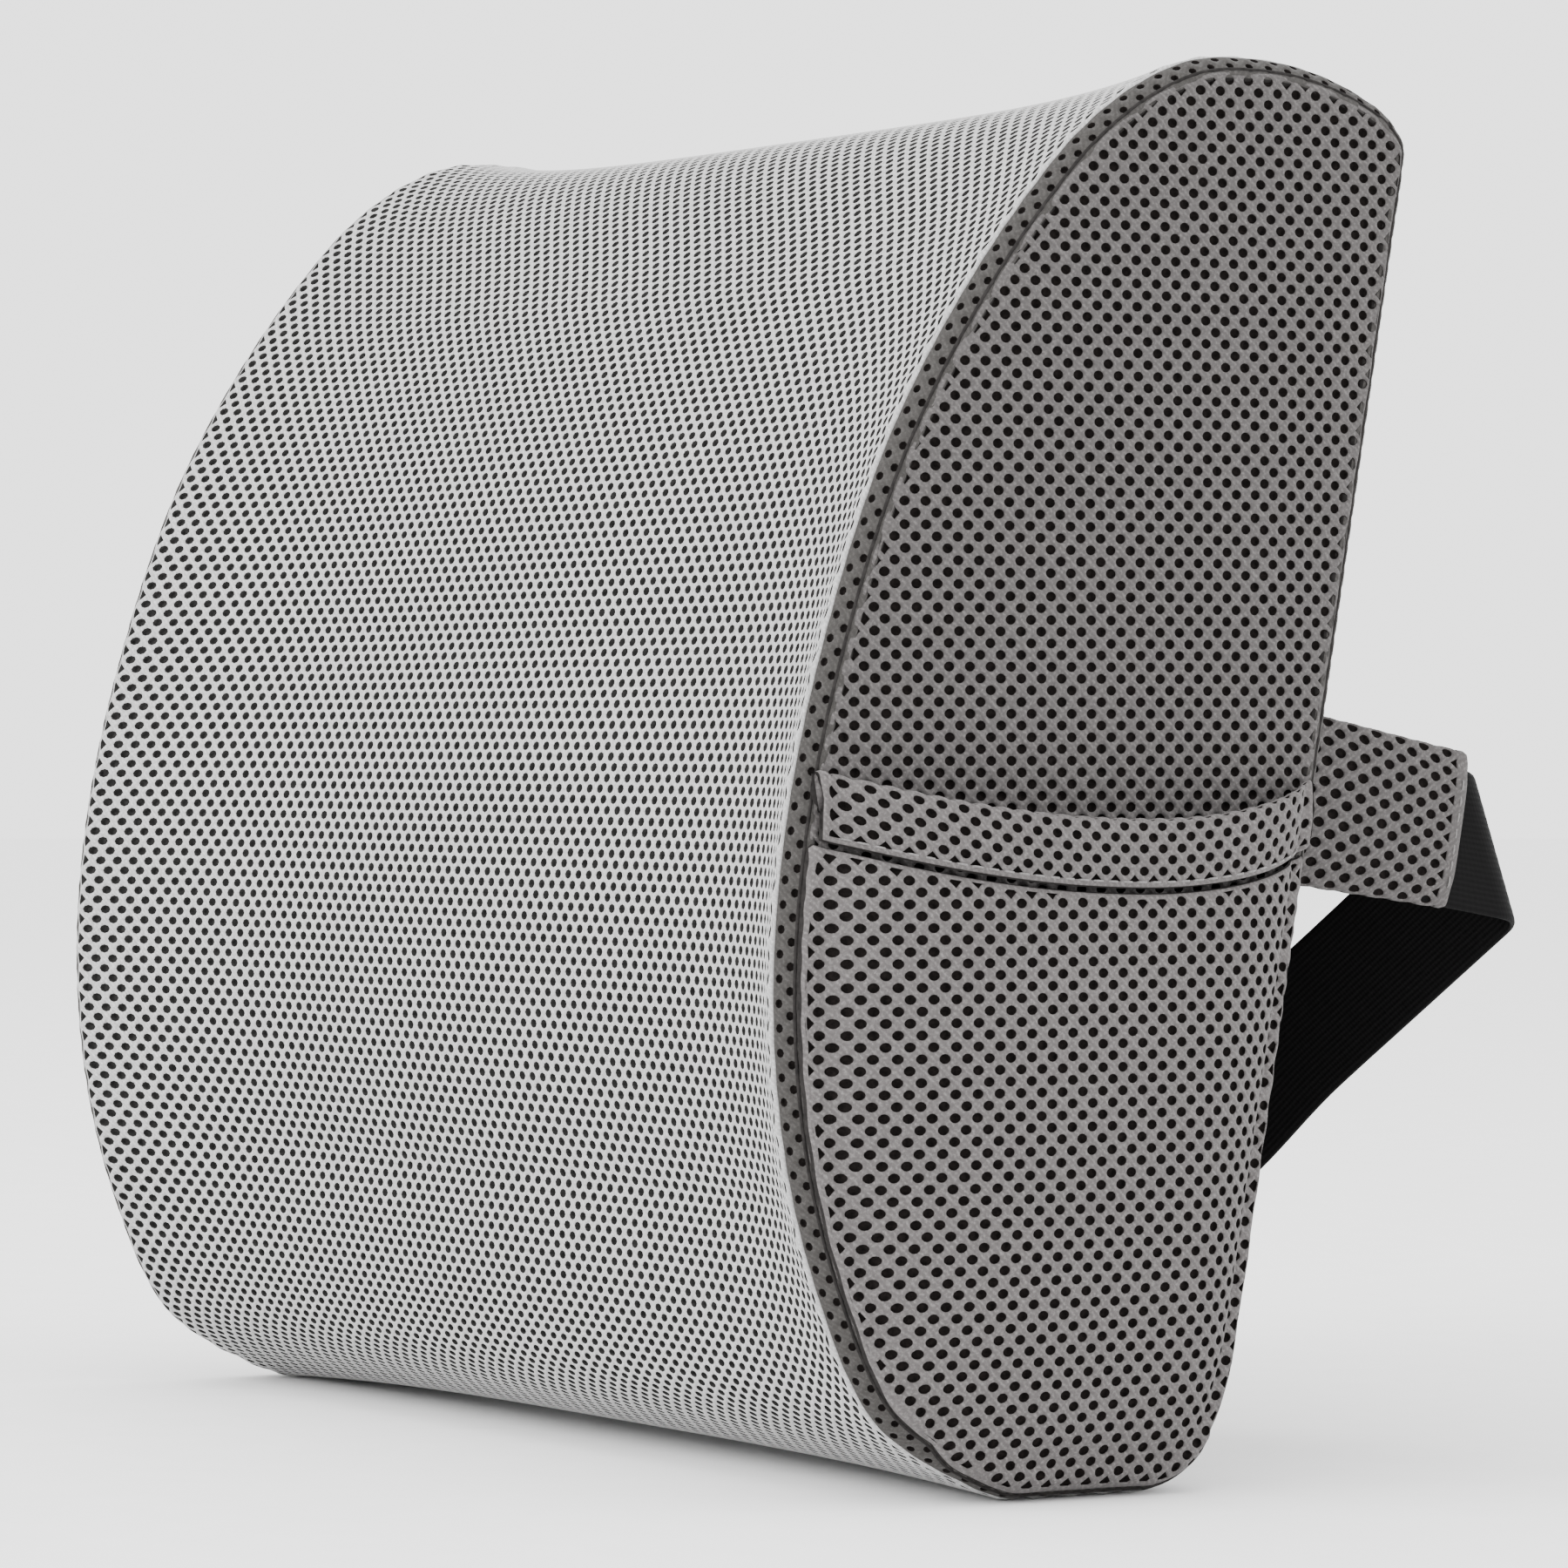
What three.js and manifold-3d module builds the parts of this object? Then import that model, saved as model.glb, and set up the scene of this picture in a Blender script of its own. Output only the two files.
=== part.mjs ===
// Lumbar support cushion: a memory-foam core in a knit liner and a zipped air-mesh cover,
// with a side pocket and an elastic strap with a side-release buckle across the back.
// Millimetres. X runs across the width (+X is the pocket side), -Y is the front that the
// sitter's back touches, +Y is towards the chair, +Z is up. The origin is the middle of the
// flat patch that the cushion stands on.
import * as THREE from 'three';
import { mergeVertices } from 'three/addons/utils/BufferGeometryUtils.js';
import Module from 'manifold-3d';

const wasm = await Module();
wasm.setup();

// ---------- driving dimensions ----------
const WIDTH = 344;            // over the end seams
const EDGE_R = 7;             // rounding of the end edges, covered by the edge bands
const END_BULGE = 3.0;        // crown of the end panels beyond the seams
const COVER_T = 3.0;          // 3-D air mesh thickness
const GAP = 0.3;              // clearance between touching pieces
const LINER_T = 0.8;
const FRONT_DISH = 20;        // how much thinner the middle of the cushion is than its ends
const TOP_DIP = 6;            // how much lower the top is in the middle
const DISH_POWER = 4.5;       // how suddenly the ends flare
const POCKET_GAP = 8.6;       // open depth of the pocket, for a phone
const POCKET_T = 2.6;
const HEM_H = 14.5;
const TAB_L = 45.5, TAB_H = 34, TAB_T = 8.2, TAB_X = 152, TAB_Z = 143;
const WEB_W = 30, WEB_T = 1.5;
const ZIP_HALF = 128, ZIP_S = 20;        // zip: half length, and height up the back plane
const BUCKLE_X = 0, BUCKLE_Y = 97, BUCKLE_Z = 61;
const STRAIGHT_RIGHT = 58, STRAIGHT_LEFT = 54;   // straight runs of webbing after the bends

// ---------- the section of the cushion at its ends, [y, z], starting at the base's front ----------
// A D shape that leans back: a flat leaning back, a crowned front and a flat base.
const BACK_FOOT = [39.6, 36], BACK_HEAD = [81.3, 275];
const BASE_FRONT = [-17, 0], BASE_BACK = [17, 0];
const SECTION = [
  [-29, 4.3], [-49, 17], [-61, 39.5], [-70, 70.4], [-73, 105.1], [-69.7, 141], [-60.7, 177.9],
  [-46.5, 216.1], [-28.7, 246.9], [-10, 271.3], [4.9, 285.9], [27.7, 297.8], [58.2, 296.8], [77.9, 287.8],
];

// ---------- materials ----------
const mat = (color, roughness, metalness = 0) => new THREE.MeshStandardMaterial({ color, roughness, metalness });
const M = {
  foam: () => mat(0xe9e2cf, 0.95), liner: () => mat(0xf2f2f0, 0.9), light: () => mat(0xc9c8c6, 0.85),
  dark: () => mat(0x8f8b89, 0.85), black: () => mat(0x141414, 0.75), plastic: () => mat(0x111112, 0.4),
  zip: () => mat(0x6f6d6c, 0.6), metal: () => mat(0x9a9a9c, 0.35, 0.9), label: () => mat(0xf4f4f2, 0.8),
};

// ---------- helpers ----------
const V = (x, y, z) => new THREE.Vector3(x, y, z);
const lerp = (a, b, t) => a + (b - a) * t;
const clamp = (v, a, b) => Math.min(b, Math.max(a, v));
const smooth = (v) => { const t = clamp(v, 0, 1); return t * t * (3 - 2 * t); };

function geometryFrom(points, triangles) {
  const g = new THREE.BufferGeometry();
  let vol = 0;
  for (const [a, b, c] of triangles) vol += points[a].dot(points[b].clone().cross(points[c]));
  const idx = [];
  for (const [a, b, c] of triangles) vol > 0 ? idx.push(a, b, c) : idx.push(a, c, b);
  g.setAttribute('position', new THREE.Float32BufferAttribute(points.flatMap((p) => [p.x, p.y, p.z]), 3));
  g.setIndex(idx);
  g.computeVertexNormals();
  return g;
}

// A closed shell between two grids of points. Row i, column j; columns may close on themselves.
function shell(outer, inner, closed) {
  const n = outer.length, m = outer[0].length, pts = [], tri = [];
  for (const grid of [outer, inner]) for (const row of grid) for (const p of row) pts.push(p);
  const id = (g, i, j) => g * n * m + i * m + (j % m);
  const quad = (a, b, c, d) => { tri.push([a, b, c], [a, c, d]); };
  const jn = closed ? m : m - 1;
  for (let i = 0; i < n - 1; i++) for (let j = 0; j < jn; j++) {
    quad(id(0, i, j), id(0, i + 1, j), id(0, i + 1, j + 1), id(0, i, j + 1));
    quad(id(1, i, j), id(1, i, j + 1), id(1, i + 1, j + 1), id(1, i + 1, j));
  }
  for (let j = 0; j < jn; j++) {
    quad(id(0, 0, j), id(0, 0, j + 1), id(1, 0, j + 1), id(1, 0, j));
    quad(id(0, n - 1, j), id(1, n - 1, j), id(1, n - 1, j + 1), id(0, n - 1, j + 1));
  }
  if (!closed) for (let i = 0; i < n - 1; i++) {
    quad(id(0, i, 0), id(1, i, 0), id(1, i + 1, 0), id(0, i + 1, 0));
    quad(id(0, i, m - 1), id(0, i + 1, m - 1), id(1, i + 1, m - 1), id(1, i, m - 1));
  }
  return geometryFrom(pts, tri);
}

// A solid through closed rings, with a fan over each end.
function loft(rings) {
  const n = rings.length, m = rings[0].length, pts = rings.flat(), tri = [];
  for (let i = 0; i < n - 1; i++) for (let j = 0; j < m; j++) {
    const a = i * m + j, b = i * m + (j + 1) % m, c = (i + 1) * m + (j + 1) % m, d = (i + 1) * m + j;
    tri.push([a, d, c], [a, c, b]);
  }
  for (const [k, flip] of [[0, false], [n - 1, true]]) {
    const c = rings[k].reduce((s, p) => s.add(p), V(0, 0, 0)).multiplyScalar(1 / m);
    pts.push(c);
    const ci = pts.length - 1;
    for (let j = 0; j < m; j++) {
      const a = k * m + j, b = k * m + (j + 1) % m;
      tri.push(flip ? [ci, b, a] : [ci, a, b]);
    }
  }
  return geometryFrom(pts, tri);
}

// A domed sheet of one thickness over a closed outline: rings shrink towards the middle.
function dome(outerAt, innerAt, scales, m) {
  const pts = [], tri = [];
  for (const f of [outerAt, innerAt]) {
    for (const s of scales) for (let j = 0; j < m; j++) pts.push(f(s, j));
    pts.push(f(0, 0));
  }
  const per = scales.length * m + 1;
  const id = (g, i, j) => g * per + i * m + (j % m);
  for (const g of [0, 1]) {
    const add = (a, b, c) => tri.push(g ? [a, c, b] : [a, b, c]);
    for (let i = 0; i < scales.length - 1; i++) for (let j = 0; j < m; j++) {
      add(id(g, i, j), id(g, i, j + 1), id(g, i + 1, j + 1));
      add(id(g, i, j), id(g, i + 1, j + 1), id(g, i + 1, j));
    }
    const c = g * per + scales.length * m;
    for (let j = 0; j < m; j++) add(id(g, scales.length - 1, j), id(g, scales.length - 1, j + 1), c);
  }
  for (let j = 0; j < m; j++) tri.push([id(0, 0, j), id(1, 0, j), id(1, 0, j + 1)], [id(0, 0, j), id(1, 0, j + 1), id(0, 0, j + 1)]);
  return geometryFrom(pts, tri);
}

function toManifold(geometry, matrix) {
  const g = geometry.clone();
  if (matrix) g.applyMatrix4(matrix);
  for (const k of Object.keys(g.attributes)) if (k !== 'position') g.deleteAttribute(k);
  const w = mergeVertices(g, 1e-4);
  return new wasm.Manifold(new wasm.Mesh({
    numProp: 3, vertProperties: new Float32Array(w.attributes.position.array), triVerts: new Uint32Array(w.index.array),
  }));
}
function fromManifold(solid) {
  const mesh = solid.getMesh(), g = new THREE.BufferGeometry();
  g.setAttribute('position', new THREE.Float32BufferAttribute(mesh.vertProperties, 3));
  g.setIndex(Array.from(mesh.triVerts));
  g.computeVertexNormals();
  return g;
}
const boxAt = (x0, x1, y0, y1, z0, z1) => new THREE.BoxGeometry(x1 - x0, y1 - y0, z1 - z0)
  .translate((x0 + x1) / 2, (y0 + y1) / 2, (z0 + z1) / 2);
const mBox = (...a) => toManifold(boxAt(...a));

const root = new THREE.Group();
function add(name, geometry, material, parent = root) {
  const mesh = new THREE.Mesh(geometry, material);
  mesh.name = name;
  parent.add(mesh);
  return mesh;
}

const HALF = WIDTH / 2;

// ---------- the cushion's surface ----------
// The rounded part of the section is a smooth curve; the back and the base are straight.
const curve = new THREE.CatmullRomCurve3(
  [[5, 0], BASE_FRONT, ...SECTION, [81.8, 282], BACK_HEAD, [77.8, 255]].map(([y, z]) => V(0, y, z)), false, 'centripetal');
const ringBase = [];
for (let k = 1; k <= SECTION.length + 3; k++) {  // from the base's front edge to the back's head
  const steps = k <= SECTION.length ? 2 : 1;
  for (let q = 0; q < steps; q++) {
    const p = curve.getPoint((k + q / steps) / (curve.points.length - 1));
    ringBase.push([p.y, p.z]);
  }
}
ringBase[0] = [...BASE_FRONT];
ringBase[ringBase.length - 1] = [...BACK_HEAD];
const I_HEAD = ringBase.length - 1;             // index of the back's head
const S_UP = [BACK_HEAD[0] - BACK_FOOT[0], BACK_HEAD[1] - BACK_FOOT[1]];
const S_LEN = Math.hypot(...S_UP);
const UP = [S_UP[0] / S_LEN, S_UP[1] / S_LEN];  // up the back plane, [y, z]
const OUT = [UP[1], -UP[0]];                    // out of the back plane, [y, z]
const backAt = (s) => [BACK_FOOT[0] + UP[0] * s, BACK_FOOT[1] + UP[1] * s];
for (const s of [190, 130, 70]) ringBase.push(backAt(s));
const I_FOOT = ringBase.length;
ringBase.push([...BACK_FOOT]);
for (const p of [[36.4, 21.5], [32.6, 11.5], [26, 3.6], BASE_BACK]) ringBase.push([...p]);
const N = ringBase.length;

function offsetRing(ring, d) {                  // moves a closed ring inwards by d
  const out = [];
  for (let j = 0; j < ring.length; j++) {
    const a = ring[(j + ring.length - 1) % ring.length], b = ring[j], c = ring[(j + 1) % ring.length];
    const n1 = [b[1] - a[1], a[0] - b[0]], n2 = [c[1] - b[1], b[0] - c[0]];
    const l1 = Math.hypot(...n1), l2 = Math.hypot(...n2);
    let n = [n1[0] / l1 + n2[0] / l2, n1[1] / l1 + n2[1] / l2];
    const l = Math.hypot(...n); n = [n[0] / l, n[1] / l];
    const k = d / Math.max(0.5, (n[0] * n1[0] + n[1] * n1[1]) / l1);
    out.push([b[0] + n[0] * k, b[1] + n[1] * k]);
  }
  return out;
}
function dished(x) {                            // section at x, before the end edges round it off
  const m = 1 - Math.pow(Math.min(1, Math.abs(x) / (HALF - EDGE_R)), DISH_POWER);
  return ringBase.map(([y, z], j) => {
    if (j > I_HEAD || j === 0) return [y, z];
    const fr = smooth((z * 0.165 - 24 - y) / 40);
    const k = clamp((300 - z) / 120, 0.35, 1) * clamp(z / 60, 0.1, 1);
    const tp = Math.pow(clamp((z - 150) / 150, 0, 1), 2) * (j === I_HEAD ? 0 : clamp((I_HEAD - j) / 2.5, 0, 1));
    return [y + fr * FRONT_DISH * m * k, z - tp * TOP_DIP * m];
  });
}
function ringAt(x, inward) {                    // the section at x, moved inwards
  const e = Math.max(0, Math.abs(x) - (HALF - EDGE_R));
  const inset = EDGE_R - Math.sqrt(Math.max(0, EDGE_R * EDGE_R - e * e));
  return offsetRing(dished(x), inward + inset).map(([y, z]) => V(x, y, z));
}
const plainRing = (x, inward) => offsetRing(dished(x), inward).map(([y, z]) => V(x, y, z));

// ---------- foam core and liner ----------
const INNER_X = [-156, -148, -136, -118, -92, -52, 0, 52, 92, 118, 136, 148, 156];
const stations = (...ends) => [...ends.map((e) => -e).reverse(), ...INNER_X, ...[...ends].reverse().sort((a, b) => a - b)];
const LINER_OUT = COVER_T + GAP, LINER_IN = LINER_OUT + LINER_T, FOAM = LINER_IN + GAP;
const CAP_X = HALF - 3.9;                        // outside of the liner's closed end
add('foam_core', loft(stations(HALF - EDGE_R - 0.5, CAP_X - LINER_T - GAP).map((x, i, a) => plainRing(x, FOAM + (i === 0 || i === a.length - 1 ? 5 : 0)))), M.foam());
{
  // A sock of knit cloth: closed over the right end and open at the left end, where the foam goes in.
  const xs = stations(HALF - EDGE_R - 0.5, CAP_X);
  const outer = xs.map((x, i, a) => plainRing(x, LINER_OUT + (i === 0 || i === a.length - 1 ? 5 : 0)));
  const inner = xs.map((x, i, a) => plainRing(i === a.length - 1 ? x - LINER_T : x, LINER_IN + (i === 0 || i === a.length - 1 ? 5.3 : 0)));
  const m = N, pts = [...outer.flat(), ...inner.flat()], tri = [], n = xs.length;
  const id = (g, i, j) => g * n * m + i * m + (j % m);
  for (let i = 0; i < n - 1; i++) for (let j = 0; j < m; j++) {
    tri.push([id(0, i, j), id(0, i + 1, j), id(0, i + 1, j + 1)], [id(0, i, j), id(0, i + 1, j + 1), id(0, i, j + 1)]);
    tri.push([id(1, i, j), id(1, i + 1, j + 1), id(1, i + 1, j)], [id(1, i, j), id(1, i, j + 1), id(1, i + 1, j + 1)]);
  }
  for (let j = 0; j < m; j++) tri.push([id(0, 0, j), id(0, 0, j + 1), id(1, 0, j + 1)], [id(0, 0, j), id(1, 0, j + 1), id(1, 0, j)]);
  for (const g of [0, 1]) {
    const ring = (g ? inner : outer)[n - 1], c = ring.reduce((s, p) => s.add(p), V(0, 0, 0)).multiplyScalar(1 / m);
    pts.push(c);
    const ci = pts.length - 1;
    for (let j = 0; j < m; j++) tri.push(g ? [ci, id(1, n - 1, j), id(1, n - 1, j + 1)] : [ci, id(0, n - 1, j + 1), id(0, n - 1, j)]);
  }
  add('inner_liner', geometryFrom(pts, tri), M.liner());
}

// ---------- cover: front and back panels ----------
const panelEnd = HALF - EDGE_R - GAP / 2;
const panelX = stations(panelEnd);
const cut = (ring, from, to) => ring.slice(from, to + 1);
const seamShift = (p, q, d) => p.clone().add(q.clone().sub(p).normalize().multiplyScalar(d));
function strip(from, to) {                      // part of the section from index from to index to, run past N
  const grid = (inward) => panelX.map((x) => {
    const r = ringAt(x, inward), rr = [...r, ...r];
    const c = cut(rr, from, to);
    c[0] = seamShift(c[0], c[1], GAP / 2);
    c[c.length - 1] = seamShift(c[c.length - 1], c[c.length - 2], GAP / 2);
    return c;
  });
  return shell(grid(0), grid(COVER_T), false);
}
// The front panel runs from the back of the base, under, up the front and over the top to the back's head.
add('front_panel', strip(N - 1, N + I_HEAD - 1), M.light());
// The back panel is cut in two by the zip.
const ZIP_OPEN = 6.6;                            // half the slit between the two back panels
function backPanel(fromIndex, toIndex, cutAt, cutFirst) {
  const grid = (inward) => panelX.map((x) => {
    const r = ringAt(x, inward);
    const c = cut(r, fromIndex, toIndex);
    const [y, z] = backAt(cutAt), p = V(x, y - OUT[0] * inward, z - OUT[1] * inward);
    if (cutFirst) c.unshift(p); else c.push(p);
    const k = cutFirst ? c.length - 1 : 0, q = cutFirst ? c.length - 2 : 1;
    c[k] = seamShift(c[k], c[q], GAP / 2);
    return c;
  });
  return shell(grid(0), grid(COVER_T), false);
}
add('back_panel_upper', backPanel(I_HEAD - 1, I_HEAD + 3, ZIP_S + ZIP_OPEN, false), M.dark());
add('back_panel_lower', backPanel(I_FOOT, N - 1, ZIP_S - ZIP_OPEN, true), M.dark());

// ---------- cover: edge bands and end panels ----------
const BAND_END = 76 * Math.PI / 180;
for (const [side, s] of [['right', 1], ['left', -1]]) {
  const rings = (r, inward) => [0.02, 0.34, 0.67, 1].map((k) => {
    const a = k * BAND_END;
    return offsetRing(dished(HALF), EDGE_R - r * Math.cos(a)).map(([y, z]) => V(s * (HALF - EDGE_R + r * Math.sin(a) + (k < 0.1 ? 0.15 : 0)), y, z));
  });
  add(`edge_band_${side}`, shell(rings(EDGE_R, 0), rings(EDGE_R - COVER_T, 0), true), M.dark());
}
const centre = [7, 148];
const rimRing = (inward) => offsetRing(dished(HALF), inward);
const RIM_INSET = EDGE_R - EDGE_R * Math.cos(BAND_END) + 1.2;
function endPanel(s, rimInset, xRim, crown, thick, inShift) {
  const rim = rimRing(rimInset);
  const at = (extra, dx) => (k, j) => {
    const [y, z] = rim[j];
    return V(s * (xRim + crown * (1 - Math.pow(k, 2.4)) - dx), lerp(centre[0], y, k) , lerp(centre[1], z, k));
  };
  return dome(at(0, 0), at(0, thick), [1, 0.82, 0.5, 0.2], N);
}
for (const [side, s] of [['right', 1], ['left', -1]]) {
  add(`side_panel_${side}`, endPanel(s, RIM_INSET, HALF - 0.2, END_BULGE, COVER_T), M.dark());
}

// ---------- pocket on the right end ----------
{
  const rim = rimRing(RIM_INSET + 0.4);
  const crown = END_BULGE + POCKET_GAP;
  const at = (dx, taper) => (k, j) => {
    const [y, z] = rim[j];
    const t = k > 0.99 ? taper : 1;
    return V(HALF + GAP + 0.2 + crown * (1 - Math.pow(k, 3.6)) + dx * t, lerp(centre[0], y, k), lerp(centre[1] - 30, z, k));
  };
  const sheet = dome(at(POCKET_T, 0.6), at(0, 1), [1, 0.9, 0.72, 0.5, 0.25], N);
  const solid = toManifold(sheet);
  // The mouth sags a little between its two ends; the hem band is the folded strip along it.
  const mouth = (y) => 140 + (y < 7 ? 9.5 * Math.pow((7 - y) / 70, 2) : 7.5 * Math.pow((y - 7) / 46, 2));
  const region = (lo, hi) => {                  // the slab of space between two lines across the end
    const sh = new THREE.Shape();
    const ys = Array.from({ length: 13 }, (_, i) => -90 + i * 17);
    ys.forEach((y, i) => (i ? sh.lineTo(y, hi(y)) : sh.moveTo(y, hi(y))));
    [...ys].reverse().forEach((y) => sh.lineTo(y, lo(y)));
    const g = new THREE.ExtrudeGeometry(sh, { depth: 60, bevelEnabled: false, curveSegments: 1 });
    g.applyMatrix4(new THREE.Matrix4().set(0, 0, 1, 140, 1, 0, 0, 0, 0, 1, 0, 0, 0, 0, 0, 1));
    return toManifold(g);
  };
  add('pocket_panel', fromManifold(solid.intersect(region(() => -40, (y) => mouth(y) - HEM_H - GAP))), M.dark());
  add('pocket_hem', fromManifold(solid.intersect(region((y) => mouth(y) - HEM_H, (y) => mouth(y)))), M.dark());
}

// ---------- strap tabs and strap ----------
const backFrame = (x, s, out = 0) => {           // origin on the back plane: x across, y out of the plane, z up it
  const [y, z] = backAt(s);
  const m = new THREE.Matrix4();
  m.makeBasis(V(1, 0, 0), V(0, OUT[0], OUT[1]), V(0, UP[0], UP[1]));
  m.setPosition(x, y + OUT[0] * out, z + OUT[1] * out);
  return m;
};
const TAB_S = (TAB_Z - BACK_FOOT[1]) / UP[1];
for (const [side, s] of [['right', 1], ['left', -1]]) {
  // Mesh cloth folded over the end of the webbing: closed along its top, open below.
  const w = TAB_T / 2, h = TAB_H / 2, sh = new THREE.Shape(), q = WEB_T / 2 + GAP, r = 3.4;
  sh.moveTo(-w, -h + 0.8); sh.lineTo(-w, h - r);
  sh.quadraticCurveTo(-w, h, -w + r, h); sh.lineTo(w - r, h); sh.quadraticCurveTo(w, h, w, h - r);
  sh.lineTo(w, -h + 0.8); sh.lineTo(w - 0.8, -h); sh.lineTo(q, -h); sh.lineTo(q, WEB_W / 2 + 0.4); sh.lineTo(-q, WEB_W / 2 + 0.4);
  sh.lineTo(-q, -h); sh.lineTo(-w + 0.8, -h); sh.closePath();
  const g = new THREE.ExtrudeGeometry(sh, { depth: TAB_L, bevelEnabled: false, curveSegments: 3 });
  // shape x -> x, shape y -> up the plane, extrusion -> out of the plane
  g.applyMatrix4(new THREE.Matrix4().set(1, 0, 0, 0, 0, 0, 1, 0.3, 0, 1, 0, 0, 0, 0, 0, 1));
  if (new THREE.Matrix4().set(1, 0, 0, 0, 0, 0, 1, 0.3, 0, 1, 0, 0, 0, 0, 0, 1).determinant() < 0) {
    const idx = g.index ? Array.from(g.index.array) : Array.from({ length: g.attributes.position.count }, (_, i) => i);
    for (let i = 0; i < idx.length; i += 3) [idx[i + 1], idx[i + 2]] = [idx[i + 2], idx[i + 1]];
    g.setIndex(idx);
  }
  g.computeVertexNormals();
  const mesh = add(`strap_tab_${side}`, g, M.dark());
  mesh.applyMatrix4(backFrame(s * TAB_X, TAB_S));
}

// Each half of the strap: out of its tab, round an oblique bend, along the back and round a buckle bar.
const BAR_R = BUCKLE_X + 33, SOCK_BAR = BUCKLE_X - 33;       // outer ends of the two buckle bars
const BEND_R = 6.5, BEND_TILT = -29 * Math.PI / 180, BEND_TURN = 112 * Math.PI / 180, BEND_OUT = 9;
function webbing(s, barOuter, straight) {
  const [ty, tz] = backAt(TAB_S);
  const d0 = V(0, OUT[0], OUT[1]), w0 = V(0, UP[0], UP[1]), inn = V(-s, 0, 0);
  const c = Math.cos(BEND_TILT), sn = Math.sin(BEND_TILT);
  const ruling = w0.clone().multiplyScalar(c).add(d0.clone().multiplyScalar(sn));
  const b0 = d0.clone().multiplyScalar(c).add(w0.clone().multiplyScalar(-sn));
  const B0 = V(s * TAB_X, ty, tz).add(d0.clone().multiplyScalar(TAB_L + BEND_OUT));
  const L = BEND_R * BEND_TURN;
  const b1 = b0.clone().multiplyScalar(Math.cos(BEND_TURN)).add(inn.clone().multiplyScalar(Math.sin(BEND_TURN)));
  const at = (q, r) => {                         // a point of the strip, q across the bend line and r along it
    const p = B0.clone().add(ruling.clone().multiplyScalar(r));
    if (q <= 0) return [p.add(b0.clone().multiplyScalar(q)), inn.clone().negate()];
    const a = Math.min(q, L) / BEND_R;
    p.add(b0.clone().multiplyScalar(BEND_R * Math.sin(a))).add(inn.clone().multiplyScalar(BEND_R * (1 - Math.cos(a))));
    const n = b0.clone().multiplyScalar(Math.sin(a)).sub(inn.clone().multiplyScalar(Math.cos(a)));
    if (q > L) p.add(b1.clone().multiplyScalar(q - L));
    return [p, n];
  };
  const flat = (sAlong, wAcross) => at(sAlong * c - wAcross * sn, sAlong * sn + wAcross * c);
  const rows = [];                               // [lower edge, upper edge, normal]
  const hw = WEB_W / 2;
  rows.push([flat(-BEND_OUT - 30, -hw)[0], flat(-BEND_OUT - 30, hw)[0], inn.clone().negate()]);
  for (const q of [-0.01, L * 0.2, L * 0.4, L * 0.6, L * 0.8, L + 0.01]) {
    const sLo = (q - hw * sn) / c, sHi = (q + hw * sn) / c;
    const lo = at(q, sLo * sn - hw * c), hi = at(q, sHi * sn + hw * c);
    rows.push([lo[0], hi[0], lo[1]]);
  }
  // from the bend on: a centre line that eases to level at the buckle, the cloth turning upright on the way
  const s1 = (L + hw * Math.abs(sn)) / c + 1;
  const C1 = flat(s1, 0)[0], d1 = ruling.clone().multiplyScalar(sn).add(b1.clone().multiplyScalar(c)).normalize();
  const w1 = ruling.clone().multiplyScalar(c).sub(b1.clone().multiplyScalar(sn)).normalize();
  const P1 = C1.clone().add(d1.clone().multiplyScalar(straight));
  const n1 = w1.clone().cross(d1).normalize();
  if (n1.y < 0) n1.negate();
  rows.push([C1.clone().sub(w1.clone().multiplyScalar(hw)), C1.clone().add(w1.clone().multiplyScalar(hw)), n1]);
  const E = V(barOuter + s * 15, BUCKLE_Y, BUCKLE_Z), span = P1.distanceTo(E);
  const line = new THREE.CubicBezierCurve3(P1, P1.clone().add(d1.clone().multiplyScalar(span * 0.45)),
    E.clone().add(V(s, 0, 0).multiplyScalar(span * 0.35)), E);
  const steps = 8;
  for (let i = 0; i <= steps; i++) {
    const t = i / steps, p = line.getPoint(t), tan = line.getTangent(t);
    const w = w1.clone().lerp(V(0, 0, 1), smooth(t)).normalize();
    w.sub(tan.clone().multiplyScalar(w.dot(tan))).normalize();
    const n = s > 0 ? w.clone().cross(tan).normalize() : tan.clone().cross(w).normalize();
    if (n.y < 0) n.negate();
    rows.push([p.clone().sub(w.clone().multiplyScalar(hw)), p.clone().add(w.clone().multiplyScalar(hw)), n]);
  }
  // round the bar: out on the cushion side, back on the far side
  const yIn = -0.9, R = 2.5, cx = barOuter - s * 3.0;
  const hook = (x, y, nx, ny) => rows.push([V(x, BUCKLE_Y + y, BUCKLE_Z - hw), V(x, BUCKLE_Y + y, BUCKLE_Z + hw), V(nx, ny, 0).normalize()]);
  hook(barOuter + s * 9, yIn, 0, 1);
  hook(barOuter + s * 2, -R, 0, 1);
  for (let k = 0; k <= 6; k++) {
    const a = (k / 6) * Math.PI;                 // 0 on the cushion side, pi on the far side
    hook(cx - s * R * Math.sin(a), -R * Math.cos(a), s * Math.sin(a), Math.cos(a));
  }
  hook(barOuter + s * 2, R, 0, -1);
  hook(barOuter + s * 9, 0.9 + 0.05, 0, -1);
  hook(barOuter + s * 17, 0.9 + 0.05, 0, -1);
  const pts = [], tri = [];
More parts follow.
